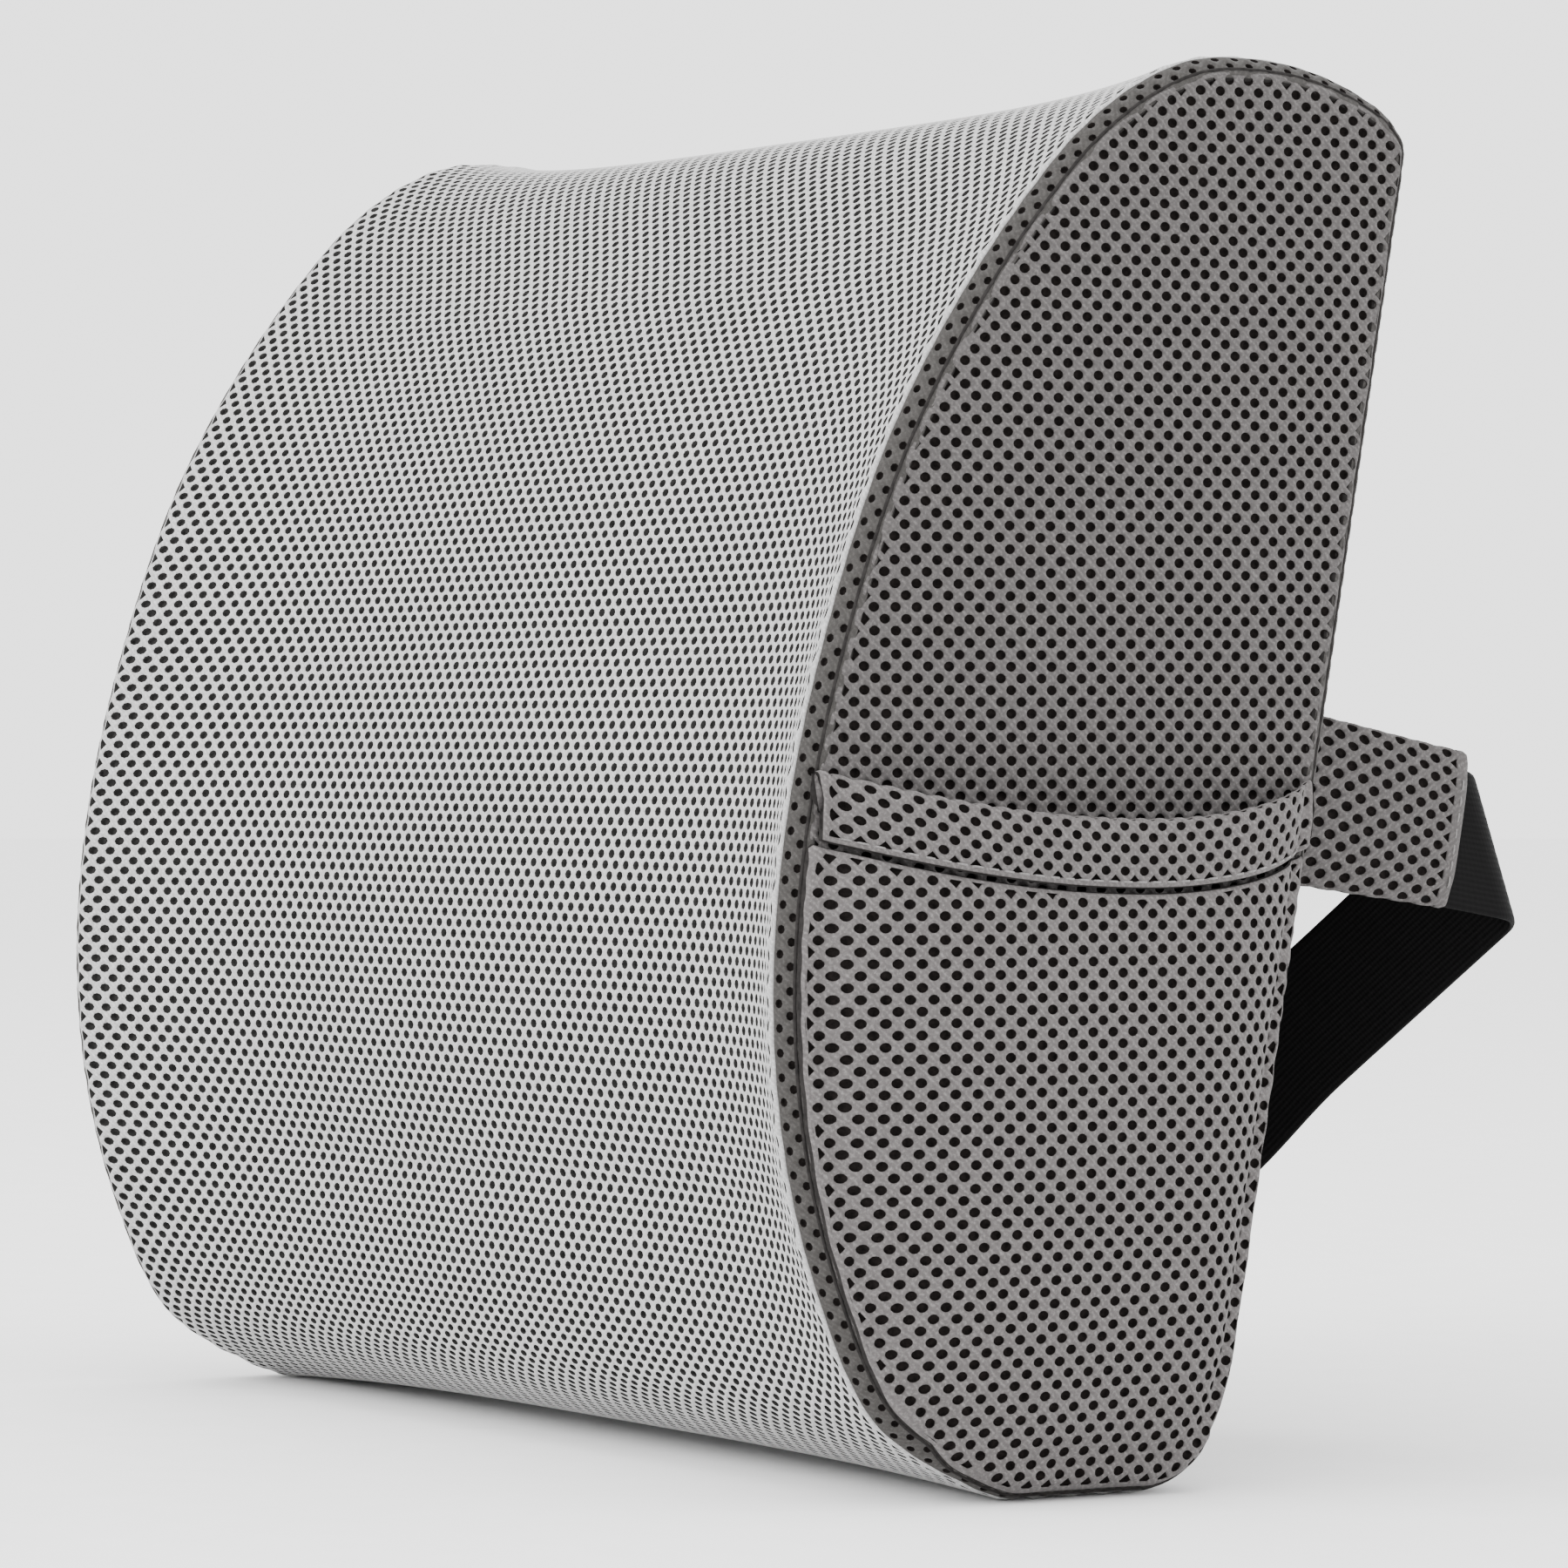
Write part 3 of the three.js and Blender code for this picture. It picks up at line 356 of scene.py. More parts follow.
def perforated(name, centres, pa, pb, hole, depth, clamp, place, grow, mats, mids=1, rings=2, margin=0.12,
               lap=(0.5, 1.0, 1.5), dip=(-0.05, -0.5, -2.0), puff=0.10, slant=0.0, outline=None, closed_a=None, relief=None):
    """Cloth with a real pit for each hole. clamp brings points on to the inner outline, grow moves outline
    points out by d, place maps (a, b, h) to space, hole is (rx, ry). outline gives each outline point's order."""
    shape = cell(pa, pb, mids)
    K = len(shape)
    M = len(centres)
    R0 = centres[:, None, :] + shape[None]
    C0 = clamp(R0.reshape(-1, 2)).reshape(M, K, 2)
    moved = np.abs(C0 - R0).max(-1) > 1e-6
    keep = ~moved.all(1)
    centres, C0, moved = centres[keep], C0[keep], moved[keep]
    M = len(centres)
    unit = shape / np.array([[pa / 2, pb]])
    unit /= np.linalg.norm(unit * np.array([[1.0, 1.0]]), axis=1, keepdims=True)
    ell = unit * np.array([hole])
    if slant:
        ell = ell + np.stack([ell[:, 1] * slant, 0 * ell[:, 1]], 1)
    rim = centres[:, None, :] + ell[None] * 1.0
    test = centres[:, None, :] + ell[None] * (1 + margin / max(hole))
    ok = (np.abs(clamp(test.reshape(-1, 2)).reshape(M, K, 2) - test).max(-1) < 1e-6).all(1)
    # shared outline vertices
    key = np.round(C0 * 50).astype(np.int64).reshape(-1, 2)
    if closed_a is not None:
        key[:, 0] %= int(round(closed_a * 50))
    uniq, first, inv = np.unique(key, axis=0, return_index=True, return_inverse=True)
    inv = inv.reshape(M, K)
    V2 = C0.reshape(-1, 2)[first]
    H = np.full(len(V2), puff)
    onrim = moved.reshape(-1)[first]
    H[onrim] = 0
    n0 = len(V2)
    loops, totals, mi, uvs = [], [], [], [V2]
    verts2, heights = [V2], [H]
    # pits
    pits = np.nonzero(ok)[0]
    # next to the outline a hole keeps the shape of what is left of its cell
    x_, y_ = C0[..., 0], C0[..., 1]
    left = 0.5 * np.abs((x_ * np.roll(y_, -1, 1) - np.roll(x_, -1, 1) * y_).sum(1)) / (pa * pb)
    short = np.nonzero(~ok & (left > 0.36))[0]
    mid_c = C0[short].mean(1)
    shapes = np.concatenate([np.broadcast_to(ell[None], (len(pits), K, 2)), 0.58 * (C0[short] - mid_c[:, None])])
    hubs = np.concatenate([centres[pits], mid_c])
    ok[short] = True
    pits = np.concatenate([pits, short])
    P = len(pits)
    real = inv[pits] != np.roll(inv[pits], -1, 1)
    levels = {1: [(1.0, -depth)], 2: [(1.04, -0.04), (0.93, -depth)], 3: [(1.10, 0.0), (0.98, -0.28), (0.86, -depth)]}[rings]
    base = n0
    prev = inv[pits]
    for scale, h in levels:
        ring = hubs[:, None, :] + shapes * scale
        verts2.append(ring.reshape(-1, 2))
        heights.append(np.full(P * K, h))
        cur = base + np.arange(P * K).reshape(P, K)
        nxt, pn = np.roll(cur, -1, 1), np.roll(prev, -1, 1)
        quad = np.stack([prev, pn, nxt, cur], -1)[real]
        loops.append(quad.ravel())
        totals.append(np.full(len(quad), 4))
        mi.append(np.full(len(quad), 1 if (scale, h) == levels[-1] and len(levels) > 1 and False else 0))
        prev = cur
        base += P * K
    # each pit's floor takes the hole material (slot 1): a dark floor painted for the shade at the bottom of the hole
    loops.append(prev.ravel())
    totals.append(np.full(P, K))
    mi.append(np.full(P, 1))
    # the wall of a pit below its lip takes the hole material too: painted shade down the hole
    if len(levels) > 1:
        mi[-2][:] = 1 if rings < 3 else 1
    # cells with no hole, next to the outline
    for c in np.nonzero(~ok)[0]:
        ids = inv[c]
        ring = [ids[0]]
        for q in ids[1:]:
            if q != ring[-1]:
                ring.append(q)
        if ring[0] == ring[-1]:
            ring.pop()
        if len(set(ring)) < 3:
            continue
        seen, clean = set(), []
        for q in ring:
            if q not in seen:
                clean.append(q)
                seen.add(q)
        pts = V2[clean]
        x, y = pts[:, 0], pts[:, 1]
        if closed_a is not None:
            x = (x - x[0] + closed_a / 2) % closed_a
        area = 0.5 * np.sum(x * np.roll(y, -1) - np.roll(x, -1) * y)
        if area < 1e-4:
            continue
        loops.append(np.array(clean))
        totals.append(np.array([len(clean)]))
        mi.append(np.array([0]))
    # a plain lap round the outline, rolled down into the seam; where its outline is marked dark, the last ring takes
    # the third material, on most panels the near-black seam material: painted shade in the seam
    for which in outline(V2, onrim):
        order, wrap, dark = (*which, True)[:3]
        prev = np.array(order)
        for d, h in zip(lap, dip):
            new = grow(V2[order], d)
            verts2.append(new)
            heights.append(np.full(len(new), h))
            cur = base + np.arange(len(new))
            base += len(new)
            n = len(order) if wrap else len(order) - 1
            i = np.arange(n)
            j = (i + 1) % len(order)
            quad = np.stack([prev[j], prev[i], cur[i], cur[j]], -1)
            loops.append(quad.ravel())
            totals.append(np.full(n, 4))
            mi.append(np.full(n, 2 if d == lap[-1] and dark and len(mats) > 2 else 0))
            prev = cur
    V, Hh = np.vstack(verts2), np.concatenate(heights)
    if relief is not None:
        Hh = Hh + relief(V[:, 0], V[:, 1])
    XYZ = place(V[:, 0], V[:, 1], Hh)
    return to_object(name, XYZ, np.concatenate(loops), np.concatenate(totals), mats, np.concatenate(mi), V)


def staggered(a0, a1, b0, b1, pa, pb, ca=0.0, cb=0.0):
    rows = np.arange(math.floor((b0 - cb) / pb) - 1, math.ceil((b1 - cb) / pb) + 2)
    cols = np.arange(math.floor((a0 - ca) / pa) - 1, math.ceil((a1 - ca) / pa) + 2)
    R, C = np.meshgrid(rows, cols, indexing="ij")
    return np.stack([ca + (C + 0.5 * (R % 2)) * pa, cb + R * pb], -1).reshape(-1, 2).astype(float)


def rectangle(a0, a1, b0, b1, lap=1.5):
    """clamp, grow and outline order for a rectangle of cloth whose perforated part is lap inside it."""
    A0, A1, B0, B1 = a0 + lap, a1 - lap, b0 + lap, b1 - lap
    ca, cb, ha, hb = (A0 + A1) / 2, (B0 + B1) / 2, (A1 - A0) / 2, (B1 - B0) / 2

    def clamp(p):
        return np.stack([np.clip(p[:, 0], A0, A1), np.clip(p[:, 1], B0, B1)], 1)

    def grow(p, d):
        return np.stack([ca + (p[:, 0] - ca) * (ha + d) / ha, cb + (p[:, 1] - cb) * (hb + d) / hb], 1)

    def outline(V, on):
        idx = np.nonzero(on)[0]
        ang = np.arctan2((V[idx, 1] - cb) / hb, (V[idx, 0] - ca) / ha)
        return [(list(idx[np.argsort(ang)]), True)]
    return clamp, grow, outline


def puckers(s, d, amp=0.18, pitch=8.5, reach=6.0):
    """Small gathers where a seam's thread pulls the cloth. s runs along the seam and d away from it."""
    return amp * np.sin(2 * np.pi * s / pitch + 1.3 * np.sin(s / 17.0)) * np.exp(-(d / reach) ** 2)


CLOTHS = {}
# ---- front panel: under, up the front and over the top
FP_A, FP_B = 3.0, 2.4
XS = np.linspace(-FLAT_X + 0.15, FLAT_X - 0.15, 261)
XF = np.linspace(-FLAT_X - 2.0, FLAT_X + 2.0, 335)      # the front's cloth laps 2 mm on to the bands
headd = FRONT_S[-1] - FRONT_S
FY, FZ = dished(FRONT_LINE[None, :, 0], FRONT_LINE[None, :, 1], XF[:, None], headd[None])
for row in np.nonzero(np.abs(XF) > FLAT_X)[0]:
    FY[row], FZ[row] = offset(FY[row], FZ[row], EDGE_R - math.sqrt(EDGE_R**2 - (abs(XF[row]) - FLAT_X) ** 2), False)
front_surf = Surf(XF, FRONT_S, np.stack([np.broadcast_to(XF[:, None], FY.shape), FY, FZ], -1), flip=False)
mid = front_surf.N[len(XF) // 2, int(np.argmin(np.abs(FRONT_S - 34 - 150)))]
if mid[1] > 0:
    front_surf.N = -front_surf.N
L_FRONT = float(FRONT_S[-1])
clamp, grow, outline = rectangle(XF[0], XF[-1], 0.15, L_FRONT - 0.15, 1.2)
cen = staggered(XF[0], XF[-1], 0, L_FRONT, 4.72, 2.36, 0.0, 1.0)


def front_relief(a, b):
    d = np.minimum(a - XF[0], XF[-1] - a)
    e = np.minimum(b, L_FRONT - b)
    return puckers(b, d) + puckers(a, e, 0.10) + 0.10 * np.sin(a / 37.0 + b / 71.0) * np.sin(b / 43.0)


FRONT_ORIENT = float(np.sign(np.cross(front_surf(np.array([1.0]), np.array([184.0]), np.array([0.0]))[0] - front_surf(np.array([0.0]), np.array([184.0]), np.array([0.0]))[0],
                                      front_surf(np.array([0.0]), np.array([185.0]), np.array([0.0]))[0] - front_surf(np.array([0.0]), np.array([184.0]), np.array([0.0]))[0])[1]))
front = perforated("front_cover", cen, 4.72, 2.36, (1.36, 0.99), 0.95, clamp, front_surf, grow,
                   [M_FRONT, M_FRONT_HOLE_SHADE, M_FRONT], mids=1, rings=2, slant=0.0, outline=outline, relief=front_relief, lap=(0.4, 0.8, 1.2), dip=(-0.05, -0.4, -1.8))
CLOTHS["front"] = front


def flip_if_inward(ob, towards):
    """Turns the faces over if they look away from what towards says is outside."""
    me = ob.data
    n = len(me.polygons)
    nor, cen_, area = np.empty(n * 3, np.float32), np.empty(n * 3, np.float32), np.empty(n, np.float32)
    me.polygons.foreach_get("normal", nor)
    me.polygons.foreach_get("center", cen_)
    me.polygons.foreach_get("area", area)
    nor, cen_ = nor.reshape(-1, 3), cen_.reshape(-1, 3)
    if float((np.einsum("ij,ij->i", nor, towards(cen_)) * area).sum()) < 0:
        me.flip_normals()


HUB = np.array([0.0, 0.010, 0.150])
flip_if_inward(front, lambda c: c - HUB)
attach(front, "cushion")
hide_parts("front_panel")


# ---- back panels
def back_bulge(x, s, s0, s1):
    t = np.clip((s - s0) / (s1 - s0), 0, 1)
    return 1.2 * (1 - np.minimum(1, np.abs(x) / FLAT_X) ** 4) * np.sin(np.pi * t) ** 0.8


def back_point(x, s, h):
    return np.stack([x, BACK_FOOT[0] + UP[0] * s + OUT[0] * h, BACK_FOOT[1] + UP[1] * s + OUT[1] * h], -1)


ZIP_S, ZIP_OPEN = 20.0, 6.6
S0, S1 = ZIP_S + ZIP_OPEN, BACK_LEN
SB = np.linspace(S0, S1, 217)
G = back_point(np.broadcast_to(XS[:, None], (len(XS), len(SB))), np.broadcast_to(SB[None], (len(XS), len(SB))),
               back_bulge(XS[:, None], SB[None], S0, S1))
surf = Surf(XS, SB, G)
if surf.N[100, 100, 1] < 0:
    surf.N = -surf.N
clamp, grow, outline = rectangle(XS[0], XS[-1], S0, S1 - 0.15, 1.5)
cen = staggered(XS[0], XS[-1], S0, S1, 4.8, 2.4)
back_up = perforated("back_cover_upper", cen, 4.8, 2.4, (1.20, 1.02), 0.95, clamp, surf, grow, [M_SIDE, M_SIDE_HOLE_SHADE, M_SEAM_SHADE],
                     mids=1, rings=2, outline=outline, dip=(0.0, -0.4, -1.8),
                     relief=lambda a, b: puckers(b, np.minimum(a - XS[0], XS[-1] - a)) + puckers(a, S1 - b, 0.12))
flip_if_inward(back_up, lambda c: np.broadcast_to(np.array([0, OUT[0], OUT[1]]), c.shape))
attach(back_up, "cushion")
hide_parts("back_panel_upper")

LOW_LINE, LOW_S = dense([tuple(BACK_FOOT + UP * (ZIP_S - ZIP_OPEN)), tuple(BACK_FOOT + UP * 6)] + FOOT)
LY, LZ = dished(LOW_LINE[None, :, 0], LOW_LINE[None, :, 1], XS[:, None], 0 * LOW_S[None])
surf = Surf(XS, LOW_S, np.stack([np.broadcast_to(XS[:, None], LY.shape), LY, LZ], -1))
if surf.N[100, 5, 1] < 0:
    surf.N = -surf.N
LL = float(LOW_S[-1])
clamp, grow, outline = rectangle(XS[0], XS[-1], 0, LL - 0.15, 1.5)
cen = staggered(XS[0], XS[-1], 0, LL, 4.8, 2.4, 0, 1.4)
back_low = perforated("back_cover_lower", cen, 4.8, 2.4, (1.20, 1.02), 0.95, clamp, surf, grow, [M_SIDE, M_SIDE_HOLE_SHADE, M_SEAM_SHADE],
                      mids=1, rings=2, outline=outline, dip=(0.0, -0.4, -1.8), relief=lambda a, b: puckers(a, LL - b, 0.12))
flip_if_inward(back_low, lambda c: c - HUB)
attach(back_low, "cushion")
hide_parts("back_panel_lower")

# ---- edge bands: a quarter round from the end seams to the end panels
BAND_END = math.radians(76)
PER = float(ALL_S[-1] + np.linalg.norm(ALL_LINE[-1] - ALL_LINE[0]))
BAND_W = EDGE_R * BAND_END


def band(side, s):
    bs = np.linspace(0, BAND_W, 13)
    rows = []
    for b in bs:
        a = b / EDGE_R
        yy, zz = end_ring(EDGE_R - EDGE_R * math.cos(a))
        xx = FLAT_X + EDGE_R * math.sin(a) + (0.15 if b == 0 else 0)
        rows.append(np.stack([np.full_like(yy, s * xx), yy, zz], -1))
    G = np.stack(rows, 1)                                   # (around, across, 3)
    G = np.concatenate([G, G[:1]], 0)
    A = np.append(ALL_S, PER)
    A = np.linspace(0, PER, len(A))
    surf = Surf(A, bs, G)
    probe = surf.N[len(A) // 3, 6]
    outward = G[len(A) // 3, 6] - np.array([s * 150, 7, 148.0])
    if np.dot(probe, outward) < 0:
        surf.N = -surf.N
    n = round(PER / 5.0)
    pa = PER / n
    pb = 2.4
    rows_b = [BAND_W / 2 - 1.2, BAND_W / 2 + 1.2]
    lo, hi = rows_b[0] - 1.15, rows_b[1] + 1.9
    c = [((i + 0.5 * k) * pa, rows_b[k]) for k in (0, 1) for i in range(n)]
    # rows above and below carry no hole and close the strip
    c += [((i + 0.5 * ((k + 2) % 2)) * pa, BAND_W / 2 - 1.2 + 2.4 * k) for k in (-1, 2) for i in range(n)]
    c = np.array(c, float)

    def clamp(p):
        return np.stack([p[:, 0], np.clip(p[:, 1], lo, hi)], 1)

    def grow(p, d):
        out = p.copy()
        up = p[:, 1] > BAND_W / 2
        out[:, 1] = np.where(up, np.minimum(p[:, 1] + d * (BAND_W - hi) / 1.5, BAND_W), np.maximum(p[:, 1] - d * 0.45, 0))
        return out

    def outline(V, on):
        res = []
        for up in (True, False):
            idx = np.nonzero(on & ((V[:, 1] > BAND_W / 2) == up))[0]
            o = list(idx[np.argsort(V[idx, 0] % PER)])
            res.append((o if not up else o[::-1], True, up))
        return res

    def place(a, b, h):
        return surf(np.mod(a, PER), b, h)
    ob = perforated(f"edge_band_cloth_{side}", c, pa, pb, (0.92, 0.80), 0.7, clamp, place, grow, [M_BAND, M_SIDE_HOLE_SHADE, M_SEAM_SHADE],
                    mids=1, rings=2, outline=outline, closed_a=PER, dip=(0.0, -0.3, -1.2), margin=0.05,
                    relief=lambda a, b: 0.10 * np.sin(2 * np.pi * a / 8.5) * (np.abs(b - BAND_W / 2) / BAND_W * 2))
    flip_if_inward(ob, lambda q: q - np.array([s * 0.150, 0.007, 0.148]))
    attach(ob, "cushion")
    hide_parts(f"edge_band_{side}")
    return ob


# ---- end panels and pocket
RIM_INSET = EDGE_R - EDGE_R * math.cos(BAND_END) + 1.2
OY, OZ = end_ring(0.0)
# the end panels lap on to the bands all round, and at the base wrap under
UNDER = np.maximum(3.3, 5.2 * smooth((17 - OZ) / 12))
RY, RZ = end_ring(RIM_INSET - UNDER)
CENTRE = np.array([7.0, 148.0])
P_CENTRE = np.array([7.0, 118.0])


def polar(cy, cz, ry, rz):
    ang = np.arctan2(rz - cz, ry - cy)
    o = np.argsort(ang)
    ang, rad = ang[o], np.hypot(ry - cy, rz - cz)[o]
    ang = np.concatenate([ang - 2 * np.pi, ang, ang + 2 * np.pi])
    rad = np.concatenate([rad, rad, rad])
    return lambda y, z: np.interp(np.arctan2(z - cz, y - cy), ang, rad)


R_SIDE = polar(*CENTRE, RY, RZ)
R_POCK = polar(*P_CENTRE, *end_ring(RIM_INSET + 0.4))
R_OUTER = polar(*CENTRE, OY, OZ)
R_NOMINAL = polar(*CENTRE, *end_ring(RIM_INSET))


def wrapped(x, y, z, over=1.1, slope=0.55, start=4.0):
    """Keeps an end panel's surface just over the band where it laps on to it."""
    ins = np.maximum(0.0, R_OUTER(y, z) - np.hypot(y - CENTRE[0], z - CENTRE[1])) * 0.97
    lim = FLAT_X + np.sqrt(np.maximum(0, EDGE_R**2 - (EDGE_R - np.minimum(ins, EDGE_R)) ** 2)) + over + slope * np.maximum(0, ins - start)
    return np.minimum(x, lim)


def k_side(y, z):
    return np.hypot(y - CENTRE[0], z - CENTRE[1]) / R_NOMINAL(y, z)


def k_pock(y, z):
    return np.hypot(y - P_CENTRE[0], z - P_CENTRE[1]) / R_POCK(y, z)


def side_x(y, z):
    return wrapped(HALF - 0.2 + 3.0 * (1 - np.minimum(1, k_side(y, z)) ** 2.4), y, z)


def rim_clamp(lap):
    def clamp(p):
        v = p - CENTRE
        r = np.hypot(v[:, 0], v[:, 1])
        lim = R_SIDE(p[:, 0], p[:, 1]) - lap
        f = np.where(r > lim, lim / np.maximum(r, 1e-9), 1.0)
        out = CENTRE + v * f[:, None]
        return np.where((r > lim)[:, None], out, p)
    return clamp


def side_panel(side, s):
    clamp = rim_clamp(1.0)

    def grow(p, d):
        v = p - CENTRE
        r = np.hypot(v[:, 0], v[:, 1])
        return CENTRE + v * ((r + d) / r)[:, None]

    def outline(V, on):
        idx = np.nonzero(on)[0]
        ang = np.arctan2(V[idx, 1] - CENTRE[1], V[idx, 0] - CENTRE[0])
        return [(list(idx[np.argsort(ang)]), True)]

    def relief(a, b):
        d = np.maximum(0, R_SIDE(a, b) - np.hypot(a - CENTRE[0], b - CENTRE[1]))
        th = np.arctan2(b - CENTRE[1], a - CENTRE[0]) * 110
        return puckers(th, d, 0.20, 9.0, 7.0) - 0.7 * np.exp(-(d / 1.2) ** 2)

    cen = staggered(-75, 90, 0, 300, 4.8, 2.4, 1.0, 0.6)
    ob = perforated(f"side_cover_{side}", cen, 4.8, 2.4, (1.22, 1.04), 1.0, clamp,
                    lambda a, b, h: np.stack([s * (side_x(a, b) + h), a, b], -1), grow, [M_SIDE, M_SIDE_HOLE_SHADE, M_SEAM_SHADE],
                    mids=2 if s > 0 else 1, rings=3 if s > 0 else 2, outline=outline, lap=(0.35, 0.7, 1.0), dip=(0.0, -0.35, -1.9), relief=relief, margin=0.08)
    flip_if_inward(ob, lambda q: np.broadcast_to(np.array([s, 0, 0]), q.shape))
    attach(ob, "cushion")
    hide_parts(f"side_panel_{side}")
    return ob


def mouth(y):
    return 140 + np.where(y < 7, 9.5 * ((7 - y) / 70) ** 2, 7.5 * ((y - 7) / 46) ** 2)


POCKET_GAP, POCKET_T, HEM_H = 8.6, 2.6, 14.5
P_CROWN = 3.0 + POCKET_GAP


def pock_x(y, z, extra=0.0):
    k = np.minimum(1, k_pock(y, z))
    x = HALF + 0.5 + P_CROWN * (1 - k**3.6) + extra + POCKET_T * (1 - 0.4 * smooth((k - 0.93) / 0.07))
    w = smooth((z - 22) / 16)
    return wrapped(x, y, z, 1.9, 0.55 + 0.75 * w, 4.0 - 0.8 * w)


def pocket():
    lap = 1.5

    def top(y):
        return mouth(y) - HEM_H - 0.3

    inner = rim_clamp(1.0)

    def clamp(p):
        q = p.copy()
        q[:, 1] = np.minimum(q[:, 1], top(q[:, 0]) - 1.2)
        c = inner(q)
        c[:, 1] = np.minimum(c[:, 1], top(c[:, 0]) - 1.2)
        return c

    hub = np.array([7.0, 90.0])

    def grow(p, d):
        v = p - CENTRE
        r = np.hypot(v[:, 0], v[:, 1])
        out = CENTRE + v * ((r + d * 0.75) / r)[:, None]
        ontop = np.abs(p[:, 1] - (top(p[:, 0]) - 1.2)) < 0.02
        out[ontop] = np.stack([p[ontop, 0] * (1 + 0.0 * d), p[ontop, 1] + d * 0.5], 1)
        return out

    def outline(V, on):
        idx = np.nonzero(on)[0]
        ang = np.arctan2(V[idx, 1] - hub[1], V[idx, 0] - hub[0])
        return [(list(idx[np.argsort(ang)]), True)]

    def relief(a, b):
        d = np.maximum(0, R_SIDE(a, b) - np.hypot(a - CENTRE[0], b - CENTRE[1]))
        th = np.arctan2(b - CENTRE[1], a - CENTRE[0]) * 110
        e = np.maximum(0, top(a) - b)
        return puckers(th, d, 0.22, 9.0, 8.0) - 1.15 * np.exp(-(d / 1.4) ** 2) - 0.7 * np.exp(-(e / 2.2) ** 2)

    cen = staggered(-75, 90, 0, 170, 4.8, 2.4, 1.0, 0.6)
    cen = cen[cen[:, 1] < 150]
    ob = perforated("pocket_cloth", cen, 4.8, 2.4, (1.22, 1.04), 1.0, clamp,
                    lambda a, b, h: np.stack([pock_x(a, b) + h, a, b], -1), grow, [M_POCKET, M_SIDE_HOLE_SHADE, M_SEAM_SHADE],
                    mids=2, rings=3, outline=outline, lap=(0.45, 0.9, 1.3), dip=(0.0, -0.25, -1.0), relief=relief, margin=0.08)
    flip_if_inward(ob, lambda q: np.broadcast_to(np.array([1.0, 0, 0]), q.shape))
    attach(ob, "cushion")
    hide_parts("pocket_panel")
    return ob


def hem():
    """The folded strip along the pocket's mouth: cloth coordinates are u across the end and w up from its lower edge."""
    Y0, Y1 = -70.0, 58.0
    y_of = np.linspace(Y0, Y1, 240)
    z_mid = mouth(y_of) - HEM_H / 2
    # trim the ends to the rim
    inside = np.hypot(y_of - CENTRE[0], z_mid - CENTRE[1]) / R_SIDE(y_of, z_mid) < 0.996
    y_of = y_of[inside]
    Y0, Y1 = float(y_of[0]), float(y_of[-1])
    roll = 1.5
    W = HEM_H + math.pi * roll + 9.0          # up the outside, over the fold and down the inside
    A = np.linspace(Y0, Y1, 200)
    B = np.linspace(0, W, 90)
    U, Wd = np.meshgrid(A, B, indexing="ij")
    t1 = HEM_H - roll
    zz = np.where(Wd < t1, Wd, np.where(Wd < t1 + math.pi * roll, t1 + roll * np.sin((Wd - t1) / roll), t1 - (Wd - t1 - math.pi * roll)))
    xo = np.where(Wd < t1, 0, np.where(Wd < t1 + math.pi * roll, -roll * (1 - np.cos((Wd - t1) / roll)), -2 * roll))
    Zc = mouth(U) - HEM_H + zz
    ko = smooth((k_side(U, mouth(U) - HEM_H / 2) - 0.86) / 0.12)
    X = pock_x(U, Zc) + 0.35 + xo * (1 - 0.35 * ko) + 0.35 * np.sin(np.pi * np.clip(Wd / t1, 0, 1))
    surf = Surf(A, B, np.stack([X, U, Zc], -1))
    if surf.N[100, 20, 0] < 0:
        surf.N = -surf.N
    clamp, grow, outline = rectangle(Y0, Y1, 0, W, 1.2)
    cen = staggered(Y0, Y1, 0, W, 4.6, 2.3, 1.0, 1.4)
    ob = perforated("pocket_hem_cloth", cen, 4.6, 2.3, (1.16, 0.98), 0.95, clamp, surf, grow, [M_POCKET, M_SIDE_HOLE_SHADE, M_SEAM_SHADE],
                    mids=2, rings=3, outline=outline, lap=(0.4, 0.8, 1.2), dip=(0.0, -0.4, -1.4), margin=0.15,
                    relief=lambda a, b: 0.12 * np.sin(a / 4.1) * np.exp(-(b / 4.0) ** 2))
    flip_if_inward(ob, lambda q: np.broadcast_to(np.array([1.0, 0, 0]), q.shape))
    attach(ob, "cushion")
    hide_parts("pocket_hem")
    return ob, Y0, Y1


def grid_mesh(name, G, mats, closed_u=False, closed_v=False, uv=None, smooth_faces=True, caps=False):
    """A mesh over a grid of points (n, m, 3) in mm."""
    n, m = G.shape[:2]
    idx = np.arange(n * m).reshape(n, m)
    i = np.arange(n if closed_u else n - 1)
    j = np.arange(m if closed_v else m - 1)
    I, J = np.meshgrid(i, j, indexing="ij")
    I2, J2 = (I + 1) % n, (J + 1) % m
    quads = np.stack([idx[I, J], idx[I2, J], idx[I2, J2], idx[I, J2]], -1).reshape(-1, 4)
    loops, totals = quads.ravel(), np.full(len(quads), 4)
    if caps and closed_v:
        loops = np.concatenate([loops, idx[0], idx[-1][::-1]])
        totals = np.concatenate([totals, [m, m]])
    ob = to_object(name, G.reshape(-1, 3), loops, totals, mats, None,
                   None if uv is None else uv.reshape(-1, 2), smooth_faces)
    return ob


def volume_out(ob):
    bm = bmesh.new()
    bm.from_mesh(ob.data)
    bmesh.ops.recalc_face_normals(bm, faces=bm.faces)
    bm.to_mesh(ob.data)
    bm.free()


